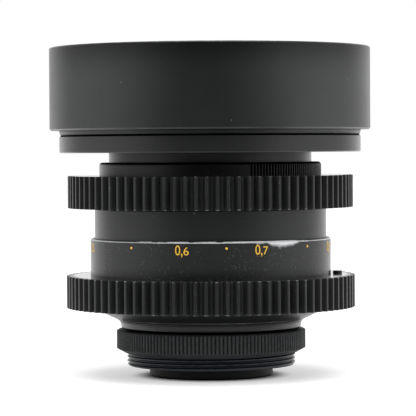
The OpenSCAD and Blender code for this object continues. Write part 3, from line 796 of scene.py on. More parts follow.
# painted shade in the step ring's groove
STEP_RING_BLACK = replace(SATIN_BLACK, name="step_ring_black", grime=(ShadedSeam(37.3, 59.9, 0.25),))
COLLAR_BLACK = replace(
    SATIN_BLACK, name="collar_black", colour=(0.0035, 0.0036, 0.0036), gloss=0.26,
    # painted shade in the grooves of the collar's knurl
    wear=(CrestRub(27.7, 0.12, 0.8, 0.08),), grime=(ShadedHollow(27.68, 0.22, 50.0, 53.3),),
    bare=(0.05, 0.05, 0.05),
)
FOCUS_RING_BLACK = replace(
    MATT_BLACK, name="focus_ring_black", dust=0.5, dust_size=0.3, dust_colour=(0.32, 0.32, 0.32),
    # painted shade: the ring darkens towards the gear below it
    films=(PaintedShade(28.6, 24.6, 0.42),),
    wear=(
        RimWearAndHighlight(29.85, 34.3, 0.6, 4.0, side=6.0, spread=48.0, least=0.08),
        RimWearAndHighlight(29.9, 34.1, 1.5, 2.6, side=36.0, spread=10.0, least=0.9),
    ),
    bare=(0.85, 0.86, 0.88),
)
GEAR_BLACK = MetalFinish(
    "gear_black", (0.0145, 0.0153, 0.0153), 0.34, gloss=0.38, swing=0.5, grain=0.3, faced=0.14,
    dust=0.5, dust_size=0.35, dust_colour=(0.085, 0.085, 0.085), bare=(0.32, 0.32, 0.32),
)
COVE_BLACK = replace(
    MOUNT_BLACK, name="cove_black", roughness=0.32, gloss=0.42,
    # painted highlight: the light band along the flare's ring edge; painted shade: the black groove above
    # the knurled ring
    wear=(RimWearAndHighlight(23.76, 14.64, 0.5, 3.0, least=0.8),), grime=(ShadedSeam(21.5, 11.9, 0.42),),
    bare=(0.15, 0.15, 0.153), bare_metallic=0.0,
)
KNURLED_BLACK = replace(
    MOUNT_BLACK, name="knurled_black", colour=(0.046, 0.0485, 0.0505), roughness=0.5, gloss=0.06,
    wear=(RimWearAndHighlight(23.5, 7.0, 0.3, 0.7), CrestRub(23.6, 0.14, 0.6, 0.5)),
    # painted shade in the grooves of the knurl
    grime=(ShadedHollow(23.5, 0.4, 7.0, 11.4),), bare=(0.07, 0.07, 0.07),
)
THREAD_STEEL = MetalFinish(
    "thread_steel", (0.0055, 0.0085, 0.0135), 0.3, gloss=0.3, pitch=0.08,
    wear=(CrestRub(21.0, 0.16, 1.6, 0.6),), bare=(0.03, 0.036, 0.046), bare_roughness=0.3,
    bare_metallic=0.0,
)
INNER_BLACK = MetalFinish("inner_black", (0.004, 0.004, 0.0042), 0.5, gloss=0.2, pitch=0.2, dust=0.02)
TUBE_GREY = MetalFinish("tube_grey", (0.3, 0.3, 0.31), 0.36, metallic=0.9, pitch=0.1)
BRASS = MetalFinish("machined_brass", (0.56, 0.37, 0.12), 0.34, metallic=0.95, pitch=0.1)
SCREW_STEEL = MetalFinish("screw_steel", (0.42, 0.42, 0.43), 0.34, metallic=0.95)
SCREW_BLACK = MetalFinish("screw_black", (0.012, 0.012, 0.013), 0.4)
BLADE_STEEL = MetalFinish("blade_steel", (0.045, 0.046, 0.05), 0.38, metallic=0.6, grain=0.3)
COATED_GLASS = GlassFinish("coated_glass")
SCALE_ORANGE = PaintFinish("scale_orange", (1.0, 0.6, 0.05))
SCALE_WHITE = PaintFinish("scale_white", (0.78, 0.77, 0.73))


class Dresser:
    """Keeps one material for each finish and puts it on objects."""

    made: dict[str, Material] = {}

    @classmethod
    def dress(cls, piece: Thing, finish: Finish) -> None:
        """Gives an object its finish.

        Args:
            piece: A new piece or a CAD node's object.
            finish: The finish it gets.
        """
        if finish.name not in cls.made:
            cls.made[finish.name] = finish.material()
        if not piece.material_slots:
            piece.data.materials.append(cls.made[finish.name])
        for slot in piece.material_slots:
            slot.material = cls.made[finish.name]


class Bench:
    """Hand tools that the pieces share."""

    @staticmethod
    def clear() -> None:
        """Leaves edit mode and selects nothing."""
        if bpy.context.object and bpy.context.object.mode != "OBJECT":
            bpy.ops.object.mode_set(mode="OBJECT")
        bpy.ops.object.select_all(action="DESELECT")

    @staticmethod
    def take(*pieces: Thing) -> None:
        """Selects these pieces alone, the first one active."""
        Bench.clear()
        for piece in pieces:
            piece.select_set(True)
        bpy.context.view_layer.objects.active = pieces[0]

    @staticmethod
    def edit(piece: Thing) -> None:
        """Opens a piece in edit mode with everything selected."""
        Bench.take(piece)
        bpy.ops.object.mode_set(mode="EDIT")
        bpy.ops.mesh.select_all(action="SELECT")

    @staticmethod
    def pick(piece: Thing, kind: Pick, wanted: Callable[[Sequence[Vector]], bool]) -> None:
        """Selects, in edit mode, the edges or faces whose corners pass a test.

        Args:
            piece: The piece that is open in edit mode.
            kind: Whether edges or faces are picked.
            wanted: Test on the list of the corners' places.
        """
        bpy.ops.mesh.select_mode(type=kind.value)
        bpy.ops.mesh.select_all(action="DESELECT")
        mesh = bmesh.from_edit_mesh(piece.data)
        for part in mesh.edges if kind is Pick.EDGE else mesh.faces:
            if wanted([corner.co for corner in part.verts]):
                part.select_set(True)
        bmesh.update_edit_mesh(piece.data)

    @staticmethod
    def close_up(threshold: float = 0.002) -> None:
        """Merges doubles within a distance, turns all faces outwards and leaves edit mode."""
        bpy.ops.mesh.select_all(action="SELECT")
        bpy.ops.mesh.remove_doubles(threshold=threshold * MM)
        bpy.ops.mesh.normals_make_consistent(inside=False)
        Bench.clear()

    @staticmethod
    def loop(name: str, points: Sequence[Point]) -> Thing:
        """Draws a closed outline in the half plane of radius and height.

        Args:
            name: Name of the new object.
            points: Radius and height of each corner.

        Returns:
            The outline's object, left in edit mode with everything selected.
        """
        Bench.clear()
        bpy.ops.mesh.primitive_circle_add(vertices=len(points), radius=MM, fill_type="NOTHING")
        piece = bpy.context.object
        piece.name = name
        for corner, (radius, height) in zip(piece.data.vertices, points):
            corner.co = (radius * MM, 0.0, height * MM)
        Bench.edit(piece)
        return piece

    @staticmethod
    def lathe(name: str, points: Sequence[Point], steps: int) -> Thing:
        """Turns a closed outline round the optical axis.

        Args:
            name: Name of the new piece.
            points: Radius and height of each corner.
            steps: Number of steps in a full turn.

        Returns:
            The turned piece.
        """
        piece = Bench.loop(name, points)
        bpy.ops.mesh.spin(steps=steps, angle=math.tau, center=ORIGIN, axis=AXIS)
        Bench.close_up()
        return piece

    @staticmethod
    def cut(piece: Thing, cutter: Thing) -> None:
        """Cuts one closed piece out of another and throws the cutter away.

        Args:
            piece: The piece that is cut.
            cutter: The closed shape that is taken out.
        """
        Bench.take(piece)
        change = piece.modifiers.new("cut", "BOOLEAN")
        change.operation = "DIFFERENCE"
        change.solver = "EXACT"
        change.object = cutter
        bpy.ops.object.modifier_apply(modifier=change.name)
        bpy.data.objects.remove(cutter, do_unlink=True)

    @staticmethod
    def drill(piece: Thing, start: Vector, end: Vector, radius: float) -> None:
        """Drills a round hole.

        Args:
            piece: The piece that is drilled.
            start: Where the drill starts, in metres.
            end: Where it ends, in metres.
            radius: Radius of the hole.
        """
        Bench.clear()
        along = end - start
        bpy.ops.mesh.primitive_cylinder_add(
            vertices=DRILL_SIDES, radius=radius * MM, depth=along.length, location=(start + end) / 2.0,
            rotation=along.to_track_quat("Z", "Y").to_euler(),
        )
        Bench.cut(piece, bpy.context.object)

    @staticmethod
    def finish(piece: Thing, body: Body, slot: Slot, finish: Finish, smooth: float = 32.0) -> None:
        """Smooths, dresses and places a finished piece.

        Args:
            piece: The piece.
            body: The body that it rides on.
            slot: A material slot of the record; not used.
            finish: Its finish.
            smooth: Largest angle that is shaded smooth.
        """
        Bench.take(piece)
        bpy.ops.object.transform_apply(location=True, rotation=True, scale=True)
        bpy.ops.object.shade_smooth_by_angle(angle=math.radians(smooth))
        weigh = piece.modifiers.new("weigh", "WEIGHTED_NORMAL")
        weigh.keep_sharp = True
        bpy.ops.object.modifier_apply(modifier=weigh.name)
        Dresser.dress(piece, finish)
        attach(piece, body.value)
        LOG.info("%s rides on %s, %d faces", piece.name, body.value, len(piece.data.polygons))


@dataclass
class GearRing:
    """A toothed ring.

    Attributes:
        node: The CAD node that it stands for.
        body: The body that it rides on.
        teeth: Number of teeth.
        bore: Radius of its bore.
        low: Height of its lower face.
        high: Height of its upper face.
        first: Bearing of one tooth's middle.
        hole: Start and end of its screw hole in metres, and the hole's radius.
        upper_wear: Width and chips of the wear along its upper face.
        lower_wear: Width and chips of the wear along its lower face.
        module: Tooth module.
        edge: Width of the bevel on the teeth's edges.
        steps: Radii at which a flank is drawn, in modules from the pitch circle.
    """

    node: str
    body: Body
    teeth: int
    bore: float
    low: float
    high: float
    first: float
    hole: tuple[Vector, Vector, float]
    upper_wear: Point
    lower_wear: Point = (0.24, 0.6)
    module: float = 0.8
    edge: float = 0.085
    steps: tuple[float, ...] = (-1.25, -0.95, -0.5, 0.0, 0.5, 1.0)

    @property
    def pitch_radius(self) -> float:
        """Radius of the pitch circle."""
        return self.module * self.teeth / 2.0

    @property
    def tip(self) -> float:
        """Radius of the teeth's lands."""
        return self.pitch_radius + self.steps[-1] * self.module

    def half_angle(self, radius: float) -> float:
        """Gives half the angle that a tooth takes at a radius, in radians."""
        here = math.acos(min(1.0, self.pitch_radius * math.cos(PRESSURE_ANGLE) / radius))
        flank = math.tan(PRESSURE_ANGLE) - PRESSURE_ANGLE
        return math.pi / (2.0 * self.teeth) + flank - math.tan(here) + here

    def outline(self) -> list[Point]:
        """Gives radius and angle of one tooth's outline, from the middle of one gap to the next."""
        radii = [self.pitch_radius + step * self.module for step in self.steps]
        rising = [(radius, -self.half_angle(radius)) for radius in radii]
        falling = [(radius, -angle) for radius, angle in reversed(rising)]
        gap = math.pi / self.teeth
        return [(radii[0], -gap), *rising, *falling, (radii[0], gap)]

    def tooth(self) -> Thing:
        """Models one tooth with its share of the ring, open at both ends, and leaves it in edit mode."""
        points = self.outline()
        last = len(points) - 1
        Bench.clear()
        bpy.ops.mesh.primitive_grid_add(x_subdivisions=last, y_subdivisions=1, size=1.0)
        piece = bpy.context.object
        piece.name = f"{self.node}_teeth"
        turn = math.radians(self.first - 90.0)
        for corner in piece.data.vertices:
            radius, angle = points[round((corner.co.x + 0.5) * last)]
            reach = (radius if corner.co.y > 0.0 else self.bore) * MM
            corner.co = (reach * math.cos(turn + angle), reach * math.sin(turn + angle), self.low * MM)
        Bench.edit(piece)
        rise = (0.0, 0.0, (self.high - self.low) * MM)
        bpy.ops.mesh.extrude_region_move(TRANSFORM_OT_translate={"value": rise})
        bpy.ops.mesh.select_all(action="SELECT")
        bpy.ops.mesh.normals_make_consistent(inside=False)
        nearly_gap = math.pi / self.teeth * 0.999
        beyond_bore = (self.bore + 1.0) * MM

        def at_end(ends: Sequence[Vector]) -> bool:
            """Tells the faces where the next tooth follows."""
            turns = [math.atan2(end.y, end.x) - turn for end in ends]
            return min(abs(math.remainder(angle, math.tau)) for angle in turns) > nearly_gap

        def is_sharp(ends: Sequence[Vector]) -> bool:
            """Tells the edges round the faces' outlines and along the tooth's land."""
            reach = min(end.xy.length for end in ends)
            level = abs(ends[0].z - ends[1].z) < HAIR
            return reach > (beyond_bore if level else self.tip * MM - HAIR)

        Bench.pick(piece, Pick.FACE, at_end)
        bpy.ops.mesh.delete(type="FACE")
        Bench.pick(piece, Pick.EDGE, is_sharp)
        bpy.ops.mesh.bevel(offset=self.edge * MM, segments=2, profile=0.5, affect="EDGES")
        return piece

    def finish(self) -> MetalFinish:
        """Gives the ring's finish, rubbed on the teeth's lands and along the edges of both faces."""
        return replace(GEAR_BLACK, name=f"{self.node}_black", wear=(
            RimWearAndHighlight(self.tip, self.high, *self.upper_wear),
            RimWearAndHighlight(self.tip, self.low, *self.lower_wear),
            CrestRub(self.tip, 0.12, 0.5, 0.12),
        ))

    def build(self) -> None:
        """Repeats the tooth round the ring, drills the screw hole and fits the ring."""
        piece = self.tooth()
        bpy.ops.mesh.select_all(action="SELECT")
        more = self.teeth - 1
        bpy.ops.mesh.spin(
            steps=more, dupli=True, angle=math.tau * more / self.teeth, center=ORIGIN, axis=AXIS
        )
        Bench.close_up()
        Bench.drill(piece, *self.hole)
        Bench.finish(piece, self.body, Slot.GEAR, self.finish())
        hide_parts(self.node)


@dataclass
class CameraThread:
    """The threaded sleeve of the camera mount.

    Attributes:
        bore: Radius of the throat.
        crest: Radius of the thread's crests.
        collar: Radius of the collar inside the knurled ring.
        low: Height of the sleeve's free end.
        face: Height of the knurled ring's face.
        high: Height of the sleeve's hidden end.
        lead: Width of the bevel on the free end.
        pitch: Rise of the thread in one turn.
        depth: Depth of the thread.
        start: Height of the groove's first pass on the side in the photograph.
        mouth: Half width of the groove's mouth, in pitches.
        floor: Half width of the groove's floor.
        past: How far the cutter stands out past the crests.
        turns: Turns of the groove.
        steps: Steps in one turn of the sleeve.
        groove_steps: Steps in one turn of the groove.
        smooth: Largest angle that is shaded smooth.
    """

    bore: float = 18.7
    crest: float = 21.0
    collar: float = 20.3
    low: float = 2.7
    face: float = 5.8
    high: float = 7.05
    lead: float = 0.4
    pitch: float = 1.0
    depth: float = 0.58
    start: float = 0.62
    mouth: float = 0.44
    floor: float = 0.06
    past: float = 0.12
    turns: int = 6
    steps: int = 192
    groove_steps: int = 96
    smooth: float = 25.0

    def groove(self) -> Thing:
        """Models the helical cutter, a wedge wound up the sleeve."""
        wide = self.pitch * self.mouth
        out = self.crest + self.past
        root = self.crest - self.depth
        cutter = Bench.loop(
            "thread_cutter", [(root, -self.floor), (root, self.floor), (out, wide), (out, -wide)]
        )
        bpy.ops.transform.translate(value=(0.0, 0.0, self.start * MM))
        bpy.ops.transform.rotate(value=math.pi / 2.0, orient_axis="Z", center_override=ORIGIN)
        Bench.take(cutter)
        wind = cutter.modifiers.new("wind", "SCREW")
        wind.angle = math.tau
        wind.screw_offset = self.pitch * MM
        wind.iterations = self.turns
        wind.steps = wind.render_steps = self.groove_steps
        wind.use_merge_vertices = False
        bpy.ops.object.modifier_apply(modifier=wind.name)
        Bench.edit(cutter)
        bpy.ops.mesh.fill_holes(sides=0)
        Bench.close_up()
        return cutter

    def build(self) -> None:
        """Turns the sleeve, cuts its thread and fits it."""
        piece = Bench.lathe("camera_thread", [
            (self.bore, self.low), (self.crest - self.lead, self.low), (self.crest, self.low + self.lead),
            (self.crest, self.face), (self.collar, self.face), (self.collar, self.high),
            (self.bore, self.high),
        ], self.steps)
        Bench.cut(piece, self.groove())
        Bench.finish(piece, Body.MOUNT, Slot.THREAD, THREAD_STEEL, self.smooth)
        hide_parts("thread_sleeve")


@dataclass(frozen=True)
class Polish:
    """One polished face of a glass element.

    Attributes:
        tip: Height of the face on the axis.
        bend: Radius of the face: positive where it falls outwards, negative where it rises, 0 where flat.
        rim: Height of the flat land round a hollow, or None where the face has no land.
    """

    tip: float
    bend: float = 0.0
    rim: Union[float, None] = None

    def stations(self, end: float) -> list[float]:
        """Gives the radii at which the face is drawn, out to an end, with the corner of its hollow."""
        radii = [end * index / POLISH_STEPS for index in range(POLISH_STEPS + 1)]
        if self.rim is not None:
            rise = abs(self.bend) - abs(self.tip - self.rim)
            radii.append(math.sqrt(self.bend ** 2 - rise ** 2))
        return sorted(radii)

    def height(self, radius: float) -> float:
        """Gives the face's height at a radius."""
        if not self.bend:
            return self.tip
        sag = math.sqrt(max(0.0, self.bend ** 2 - radius ** 2))
        height = self.tip - self.bend + math.copysign(sag, self.bend)
        if self.rim is None:
            return height
        return max(height, self.rim) if self.bend > 0.0 else min(height, self.rim)


@dataclass(frozen=True)
class Element:
    """One glass element.

    Attributes:
        node: The CAD node that it stands for.
        edge: Radius of its ground edge.
        lower: Its lower face.
        upper: Its upper face.
        bevel: Width of the bevel on its edge.
        steps: Steps in one turn.
    """

    node: str
    edge: float
    lower: Polish
    upper: Polish
    bevel: float = 0.2
    steps: int = 128

    def build(self) -> None:
        """Turns the element from its two faces and fits it."""
        end = self.edge - self.bevel
        low = [(radius, self.lower.height(radius)) for radius in self.lower.stations(end)]
        high = [(radius, self.upper.height(radius)) for radius in reversed(self.upper.stations(end))]
        sides = [(self.edge, low[-1][1] + self.bevel), (self.edge, high[0][1] - self.bevel)]
        piece = Bench.lathe(f"{self.node}_glass", [*low, *sides, *high], self.steps)
        Bench.edit(piece)
        bpy.ops.mesh.delete_loose()
        Bench.finish(piece, Body.OPTICS, Slot.GLASS, COATED_GLASS)
        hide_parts(self.node)


@dataclass
class Optics:
    """The glass of the lens; cemented faces stand a hair apart.

    Attributes:
        elements: The six elements, from the front to the rear.
    """

    elements: tuple[Element, ...] = (
        Element("front_element", 15.5, Polish(48.3, 88.7), Polish(53.3, 36.4)),
        Element("front_crown", 14.5, Polish(39.42), Polish(46.7, 21.7)),
        Element("front_flint", 14.5, Polish(37.2, 14.07, 31.9), Polish(39.4)),
        Element("rear_flint", 13.0, Polish(19.12), Polish(21.3, -16.46, 25.5)),
        Element("rear_crown", 13.0, Polish(12.8, -22.0), Polish(19.1)),
        Element("rear_element", 13.0, Polish(8.5, -46.1), Polish(12.5, 102.9)),
    )

    def build(self) -> None:
        """Builds the elements in order."""
        for element in self.elements:
            element.build()


@dataclass(frozen=True)
class Glyph:
    """One printed character.

    Attributes:
        text: The character.
        left: Left edge from the label's middle.
        foot: Lower edge from the label's base line.
        width: Width of the character.
        height: Height of the character.
    """

    text: str
    left: float
    foot: float
    width: float
    height: float


@dataclass
class Scale:
    """Painted marks round a cylinder.

    Attributes:
        name: Name of the finished piece.
        radius: Radius of the cylinder.
        base: Height of the labels' base line.
        proud: How far the paint stands out.
        sunk: How far the paint reaches in.
        half: Half the thickness of a mark while it is flat.
        widest: Widest character that is not cut into strips.
        strip: Width of the strips.
        parts: Pieces made so far.
    """

    name: str
    radius: float
    base: float
    proud: float = 0.02
    sunk: float = 0.08
    half: float = 0.1
    widest: float = 1.6
    strip: float = 0.5
    parts: list[Thing] = field(default_factory=list)

    def wrap(self, piece: Thing, bearing: float) -> None:
        """Lays a flat mark round the cylinder.

        Args:
            piece: Mark drawn flat, in metres, with its thickness along z.
            bearing: Where its middle goes.
        """
        for corner in piece.data.vertices:
            across, up, out = corner.co / MM
            turn = bearing + math.degrees(across / self.radius)
            depth = self.proud if out > 0.0 else -self.sunk
            corner.co = around(turn, self.radius + depth, self.base + up)
        self.parts.append(piece)

    def slice_up(self, piece: Thing, width: float) -> None:
        """Cuts a wide flat mark into upright strips so that it can follow the cylinder.

        Args:
            piece: The flat mark.
            width: Its width.
        """
        Bench.edit(piece)
        strips = max(2, round(width / self.strip))
        for index in range(1, strips):
            bpy.ops.mesh.select_all(action="SELECT")
            place = (index / strips - 0.5) * width * MM
            bpy.ops.mesh.bisect(plane_co=(place, 0.0, 0.0), plane_no=(1.0, 0.0, 0.0))
        Bench.clear()

    def label(self, glyphs: Sequence[Glyph], bearing: float) -> None:
        """Prints a label.

        Args:
            glyphs: Its characters.
            bearing: Where its middle goes.
        """
        for glyph in glyphs:
            Bench.clear()
            bpy.ops.object.text_add()
            letter = bpy.context.object.data
            letter.body = glyph.text
            letter.extrude = self.half
            letter.resolution_u = LETTER_STEPS
            bpy.ops.object.convert(target="MESH")
            piece = bpy.context.object
            spots = [corner.co.copy() for corner in piece.data.vertices]
            low = Vector((min(spot.x for spot in spots), min(spot.y for spot in spots)))
            high = Vector((max(spot.x for spot in spots), max(spot.y for spot in spots)))
            for corner, spot in zip(piece.data.vertices, spots):
                corner.co = (
                    (glyph.left + (spot.x - low.x) / (high.x - low.x) * glyph.width) * MM,
                    (glyph.foot + (spot.y - low.y) / (high.y - low.y) * glyph.height) * MM,
                    math.copysign(self.half * MM, spot.z),
                )
            if glyph.width > self.widest:
                self.slice_up(piece, glyph.width)
            self.wrap(piece, bearing)

    def dot(self, bearing: float, up: float, size: float) -> None:
        """Paints a round dot.

        Args:
            bearing: Where it goes.
            up: Its height above the base line.
            size: Its diameter.
        """
        Bench.clear()
        bpy.ops.mesh.primitive_circle_add(
            vertices=DOT_SIDES, radius=size / 2.0 * MM, fill_type="NGON",
            location=(0.0, up * MM, -self.half * MM),
        )
        piece = bpy.context.object
        bpy.ops.object.transform_apply(location=True)
        Bench.edit(piece)
        bpy.ops.mesh.extrude_region_move(TRANSFORM_OT_translate={"value": (0.0, 0.0, 2.0 * self.half * MM)})
        Bench.close_up()
        self.wrap(piece, bearing)

    def stroke(self, bearing: float, up: float, width: float, height: float) -> None:
        """Paints an upright stroke with eased corners.

        Args:
            bearing: Where it goes.
            up: Height of its middle above the base line.
            width: Its width.
            height: Its height.
        """
        eased = 0.3 * width
        Bench.clear()
        bpy.ops.mesh.primitive_cube_add(
            size=MM, location=(0.0, up * MM, 0.0), scale=(width, height, 2.0 * self.half)
        )
        piece = bpy.context.object
        bpy.ops.object.transform_apply(location=True, rotation=True, scale=True)
        Bench.edit(piece)
        Bench.pick(piece, Pick.EDGE, lambda ends: (ends[0] - ends[1]).xy.length < HAIR)
        bpy.ops.mesh.bevel(offset=eased * MM, segments=3, affect="EDGES")
        Bench.clear()
        self.wrap(piece, bearing)

    def fit(self, body: Body, slot: Slot, finish: Finish) -> None:
        """Joins the marks into one piece and fits it.

        Args:
            body: The body that it rides on.
            slot: A material slot of the record.
            finish: Its paint.
        """
        Bench.take(*self.parts)
        if len(self.parts) > 1:
            bpy.ops.object.join()
        piece = bpy.context.object
        piece.name = self.name
        piece.data.name = self.name
        Bench.edit(piece)
        Bench.close_up(0.0005)
        Bench.finish(piece, body, slot, finish)


@dataclass
class Scales:
    """All the marks of the lens.

    Attributes:
        focus: Radius and base line of the distances on the focus ring.
        barrel: Radius and base line of their index on the outer barrel.
        collar: Radius and base line of the apertures on their collar.
        neck: Radius and base line of their index on the front barrel.
        distances: Distances in metres with their bearings; the index stands at the last one.
        dots: Bearings of the dots between the distances.
        dot_place: Height of the dots above the base line, and their diameter.
        stops: Aperture numbers with their bearings from the index.
        stop_index: Bearing of the apertures' index.
        stop_gap: Gap between the figures of an aperture number.
    """

    focus: Point = (30.0, 31.2)
    barrel: Point = (28.9, 35.0)
    collar: Point = (27.7, 50.45)
    neck: Point = (25.3, 53.4)
    distances: tuple[tuple[str, float], ...] = (
        ("0,5", -75.5), ("0,6", -13.2), ("0,7", 24.0), ("0,9", 76.0), ("1", 88.0), ("1,2", 98.5),
        ("1,5", 109.5), ("2", 120.0), ("3", 130.0), ("5", 139.0), ("∞", 150.0),
    )
    dots: tuple[float, ...] = (-39.5, 7.2, 51.3)
    dot_place: Point = (1.6, 0.62)
    stops: tuple[tuple[str, float], ...] = (
        ("2", 20.0), ("2,8", 11.0), ("4", 2.0), ("5,6", -7.0), ("8", -16.0), ("11", -25.0), ("16", -34.0),
    )
    stop_index: float = 240.0
    stop_gap: float = 0.22

    def distance_glyphs(self, text: str) -> list[Glyph]:
        """Lays out a distance: a tall first figure, a low comma and a smaller last figure."""
        if text == "∞":
            return [Glyph(text, -1.6, 0.2, 3.2, 1.6)]
        if "," not in text:
            return [Glyph(text, -0.65, 0.0, 0.7 if text == "1" else 1.3, 2.4)]
        whole, part = text.split(",")
        slim = whole == "1"
        return [
            Glyph(whole, -1.3 if slim else -1.7, 0.0, 0.75 if slim else 1.28, 2.4),
            Glyph(",", -0.28, -0.5, 0.42, 0.95),
            Glyph(part, 0.36, 0.02, 1.28, 1.95),
        ]

    def stop_glyphs(self, text: str) -> list[Glyph]:
        """Lays out an aperture number in even figures."""
        widths = [{",": 0.3, "1": 0.55}.get(mark, 0.95) for mark in text]
        left = -(sum(widths) + self.stop_gap * (len(text) - 1)) / 2.0
        glyphs = []
        for mark, width in zip(text, widths):
            foot, height = (-0.3, 0.6) if mark == "," else (0.0, 1.45)
            glyphs.append(Glyph(mark, left, foot, width, height))
            left += width + self.stop_gap
        return glyphs

    def build(self) -> None:
        """Paints the distances and their index, then the apertures and theirs."""
        distances = Scale("distance_scale", *self.focus)
        for text, bearing in self.distances:
            distances.label(self.distance_glyphs(text), bearing)
        for bearing in self.dots:
            distances.dot(bearing, *self.dot_place)
        distances.fit(Body.FOCUS, Slot.FOCUS_RING, SCALE_ORANGE)
        index = Scale("distance_index", *self.barrel)
        index.stroke(self.distances[-1][1], up=1.2, width=0.4, height=2.0)
        index.fit(Body.OPTICS, Slot.BARREL, SCALE_ORANGE)
        stops = Scale("aperture_scale", *self.collar)
        for text, bearing in self.stops:
            stops.label(self.stop_glyphs(text), self.stop_index + bearing)
        stops.fit(Body.APERTURE, Slot.BARREL, SCALE_WHITE)
        mark = Scale("aperture_index", *self.neck)
        mark.stroke(self.stop_index, up=0.9, width=0.35, height=1.5)
        mark.fit(Body.OPTICS, Slot.BARREL, SCALE_WHITE)


@dataclass
class LensBody:
    """Finishes of the nodes that keep their CAD shape.

    Attributes:
        finishes: Each finish with the nodes that get it.
    """

    finishes: dict[MetalFinish, tuple[str, ...]] = field(default_factory=lambda: {
        HOOD_BLACK: ("hood",),
        STEP_RING_BLACK: ("step_up_ring",),
        MATT_BLACK: ("outer_barrel", "front_barrel"),
        COLLAR_BLACK: ("aperture_ring",),
        FOCUS_RING_BLACK: ("focus_ring",),
        COVE_BLACK: ("mount_barrel",),
        KNURLED_BLACK: ("mount_ring",),
        TUBE_GREY: ("main_tube",),
        SCREW_BLACK: ("gear_lock_screw",),
        BRASS: ("bearing_ring", "guide_keys", "focus_helicoid", "iris_cam_ring"),
        SCREW_STEEL: (
            "key_screws", "focus_stop_pin", "focus_grub_screws", "barrel_screws", "aperture_gear_screw",
            "aperture_drive_screw",
        ),
        INNER_BLACK: (
            "front_cell", "doublet_ring", "front_retaining_ring", "front_trim_ring", "iris_housing",
            "rear_cell", "rear_spacer", "rear_retaining_ring",
        ),
        BLADE_STEEL: tuple(f"iris_blade_{count}" for count in range(1, 9)),
    })

    def build(self) -> None:
        """Dresses every CAD node that stays."""
        for finish, nodes in self.finishes.items():
            for node in nodes:
                Dresser.dress(bpy.data.objects[node], finish)
            LOG.info("%s is on %s", finish.name, ", ".join(nodes))


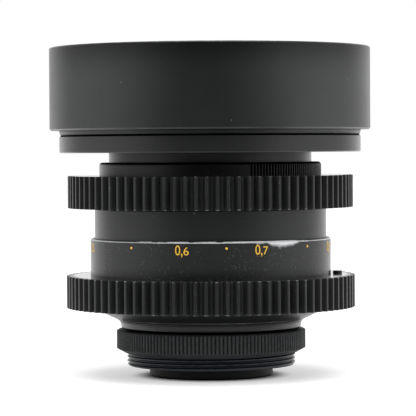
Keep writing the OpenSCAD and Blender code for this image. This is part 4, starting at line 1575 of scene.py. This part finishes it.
@dataclass
class Studio:
    """Floor, light tent, lamp and camera of the photograph.

    Attributes:
        image: Side of the photograph in pixels.
        focal: Focal length in pixels.
        distance: Distance from the camera to the lens's axis.
        eye: Height of the camera.
        aside: Sideways place of the camera.
        pitch: How far the camera looks down.
        roll: How far the camera leans to the right.
        floor_size: Side of the floor in metres.
        floor_pale: Grey levels of the floor's faint clouds.
        floor_dark: Grey level of the floor's near part in mirrored light.
        floor_cloud: Size of the clouds in metres.
        sector: Sine of the direction where the mirrored floor begins to turn pale, and is.
        foot: Radii in metres where the mirrored floor begins to turn pale under the lens, and is palest.
        foot_pale: How pale it is there.
        contact: Radii in metres where the floor's own light begins, and is full; inside them the floor shows
            painted shadow round the lens's foot.
        floor_light: Full strength of the floor's own light.
        front: Strength of the tent straight behind the camera, and beside it.
        dip: How much weaker the tent is behind the lens's sides.
        lift: How much of that comes back straight behind the lens.
        lean: How much stronger the tent is at the right, and weaker at the left.
        key_power: Power of the lamp in watts.
        key_size: Side of the lamp in metres.
        key_place: Where the lamp hangs, in metres.
        key_aim: Where the lamp points, in metres.
    """

    image: float = 416.0
    focal: float = 2360.0
    distance: float = 590.0
    eye: float = 56.1
    aside: float = -0.6
    pitch: float = 1.394
    roll: float = 0.34
    floor_size: float = 8.0
    floor_pale: Point = (0.69, 0.71)
    floor_dark: float = 0.02
    floor_cloud: float = 0.4
    sector: Point = (-1.0, -0.2)
    foot: Point = (0.14, 0.04)
    foot_pale: float = 0.7
    contact: Point = (0.0145, 0.021)
    floor_light: float = 0.44
    front: Point = (0.22, 1.14)
    dip: float = 0.42
    lift: float = 0.52
    lean: float = 0.12
    key_power: float = 8.0
    key_size: float = 0.9
    key_place: Colour = (0.0, -0.3, 0.95)
    key_aim: Colour = (0.0, 0.0, 0.04)

    def floor(self) -> None:
        """Lays the white floor, which keeps the lens's soft shadow, deepened by painted shadow where its own
        light fades round the lens's foot; the lens mirrors its near part dark.
        """
        Bench.clear()
        bpy.ops.mesh.primitive_plane_add(size=self.floor_size)
        floor = bpy.context.object
        floor.name = "studio_floor"
        material, sheet, shader = start_material("white_sweep")
        place = sheet.place()
        _, along, _, radius = sheet.polar(place)
        path = sheet.add("ShaderNodeLightPath")
        mirrored = path.outputs["Is Glossy Ray"]
        sector = sheet.ramp(sheet.over(along, radius), *self.sector)
        far = sheet.larger(sector, sheet.ramp(radius, *self.foot, 0.0, self.foot_pale))
        near = sheet.times(mirrored, sheet.minus(1.0, far))
        cloud = sheet.noise(sheet.shrink(place, self.floor_cloud))
        pale = sheet.blend(cloud, *((grey, grey, grey) for grey in self.floor_pale))
        sheet.put(sheet.blend(near, pale, (self.floor_dark,) * 3), shader.inputs["Base Color"])
        shader.inputs["Roughness"].default_value = 0.9
        shader.inputs["Specular IOR Level"].default_value = 0.0
        seen = sheet.larger(path.outputs["Is Camera Ray"], sheet.times(mirrored, far))
        seen = sheet.larger(seen, path.outputs["Is Transmission Ray"])
        shader.inputs["Emission Color"].default_value = WHITE
        # painted shadow: the floor's own light fades out round the lens's foot
        lifted = sheet.times(seen, sheet.ramp(radius, *self.contact, 0.0, self.floor_light))
        sheet.put(lifted, shader.inputs["Emission Strength"])
        floor.data.materials.append(material)

    def tent(self) -> None:
        """Hangs the light tent: white all round, dark behind the camera, white where it is seen directly."""
        world = bpy.data.worlds.new("light_tent")
        world.use_nodes = True
        bpy.context.scene.world = world
        sheet = Sheet(world.node_tree)
        backdrop = world.node_tree.nodes["Background"]
        across, along, _ = sheet.split(sheet.add("ShaderNodeTexCoord").outputs["Generated"])
        wall = sheet.ramp(along, -1.0, -0.5, *self.front)
        wall = sheet.minus(wall, sheet.ramp(along, 0.0, 0.45, 0.0, self.dip))
        wall = sheet.plus(wall, sheet.ramp(along, 0.5, 0.95, 0.0, self.lift))
        wall = sheet.plus(wall, sheet.times(across, self.lean))
        path = sheet.add("ShaderNodeLightPath")
        seen = sheet.larger(path.outputs["Is Camera Ray"], path.outputs["Is Transmission Ray"])
        sheet.put(sheet.ease(seen, wall, 1.0), backdrop.inputs["Strength"])
        backdrop.inputs["Color"].default_value = WHITE

    def key(self) -> None:
        """Hangs one large soft lamp above and in front of the lens."""
        lamp = bpy.data.lights.new("soft_key", "AREA")
        lamp.energy = self.key_power
        lamp.shape = "SQUARE"
        lamp.size = self.key_size
        holder = bpy.data.objects.new("soft_key", lamp)
        holder.location = self.key_place
        holder.visible_transmission = False
        aim = Vector(self.key_aim) - holder.location
        holder.rotation_euler = aim.to_track_quat("-Z", "Y").to_euler()
        bpy.context.scene.collection.objects.link(holder)

    def camera(self) -> None:
        """Sets up the camera at the photograph's angle."""
        eye = bpy.data.cameras.new("photo_camera")
        eye.sensor_width = 36.0
        eye.lens = self.focal / self.image * eye.sensor_width
        eye.clip_start = 0.01
        holder = bpy.data.objects.new("photo_camera", eye)
        holder.location = Vector((self.aside, -self.distance, self.eye)) * MM
        look = Euler((math.radians(90.0 - self.pitch), 0.0, 0.0)).to_matrix()
        lean = Euler((0.0, 0.0, math.radians(-self.roll))).to_matrix()
        holder.rotation_euler = (look @ lean).to_euler()
        bpy.context.scene.collection.objects.link(holder)
        bpy.context.scene.camera = holder

    def build(self) -> None:
        """Sets up the whole studio."""
        self.floor()
        self.tent()
        self.key()
        self.camera()
        bpy.context.scene.view_settings.view_transform = "Standard"
        LOG.info("studio is set up")


def main() -> None:
    """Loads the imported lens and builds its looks, piece by piece."""
    logging.basicConfig(level=logging.INFO, format="%(name)s: %(message)s")
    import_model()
    Studio().build()
    LensBody().build()
    GearRing(
        node="focus_gear", body=Body.FOCUS, teeth=88, bore=30.05, low=17.15, high=25.15, first=2.2,
        hole=(around(91.0, 31.75, 20.95), around(91.0, 31.75, 26.2), 0.65), upper_wear=(0.24, 0.7),
    ).build()
    GearRing(
        node="aperture_gear", body=Body.APERTURE, teeth=87, bore=27.25, low=41.95, high=49.95, first=-1.4,
        hole=(around(150.0, 26.0, 45.95), around(150.0, 39.5, 45.95), 0.8), upper_wear=(0.14, 0.6),
    ).build()
    CameraThread().build()
    Optics().build()
    Scales().build()
    Bench.clear()


if __name__ == "__main__":
    main()
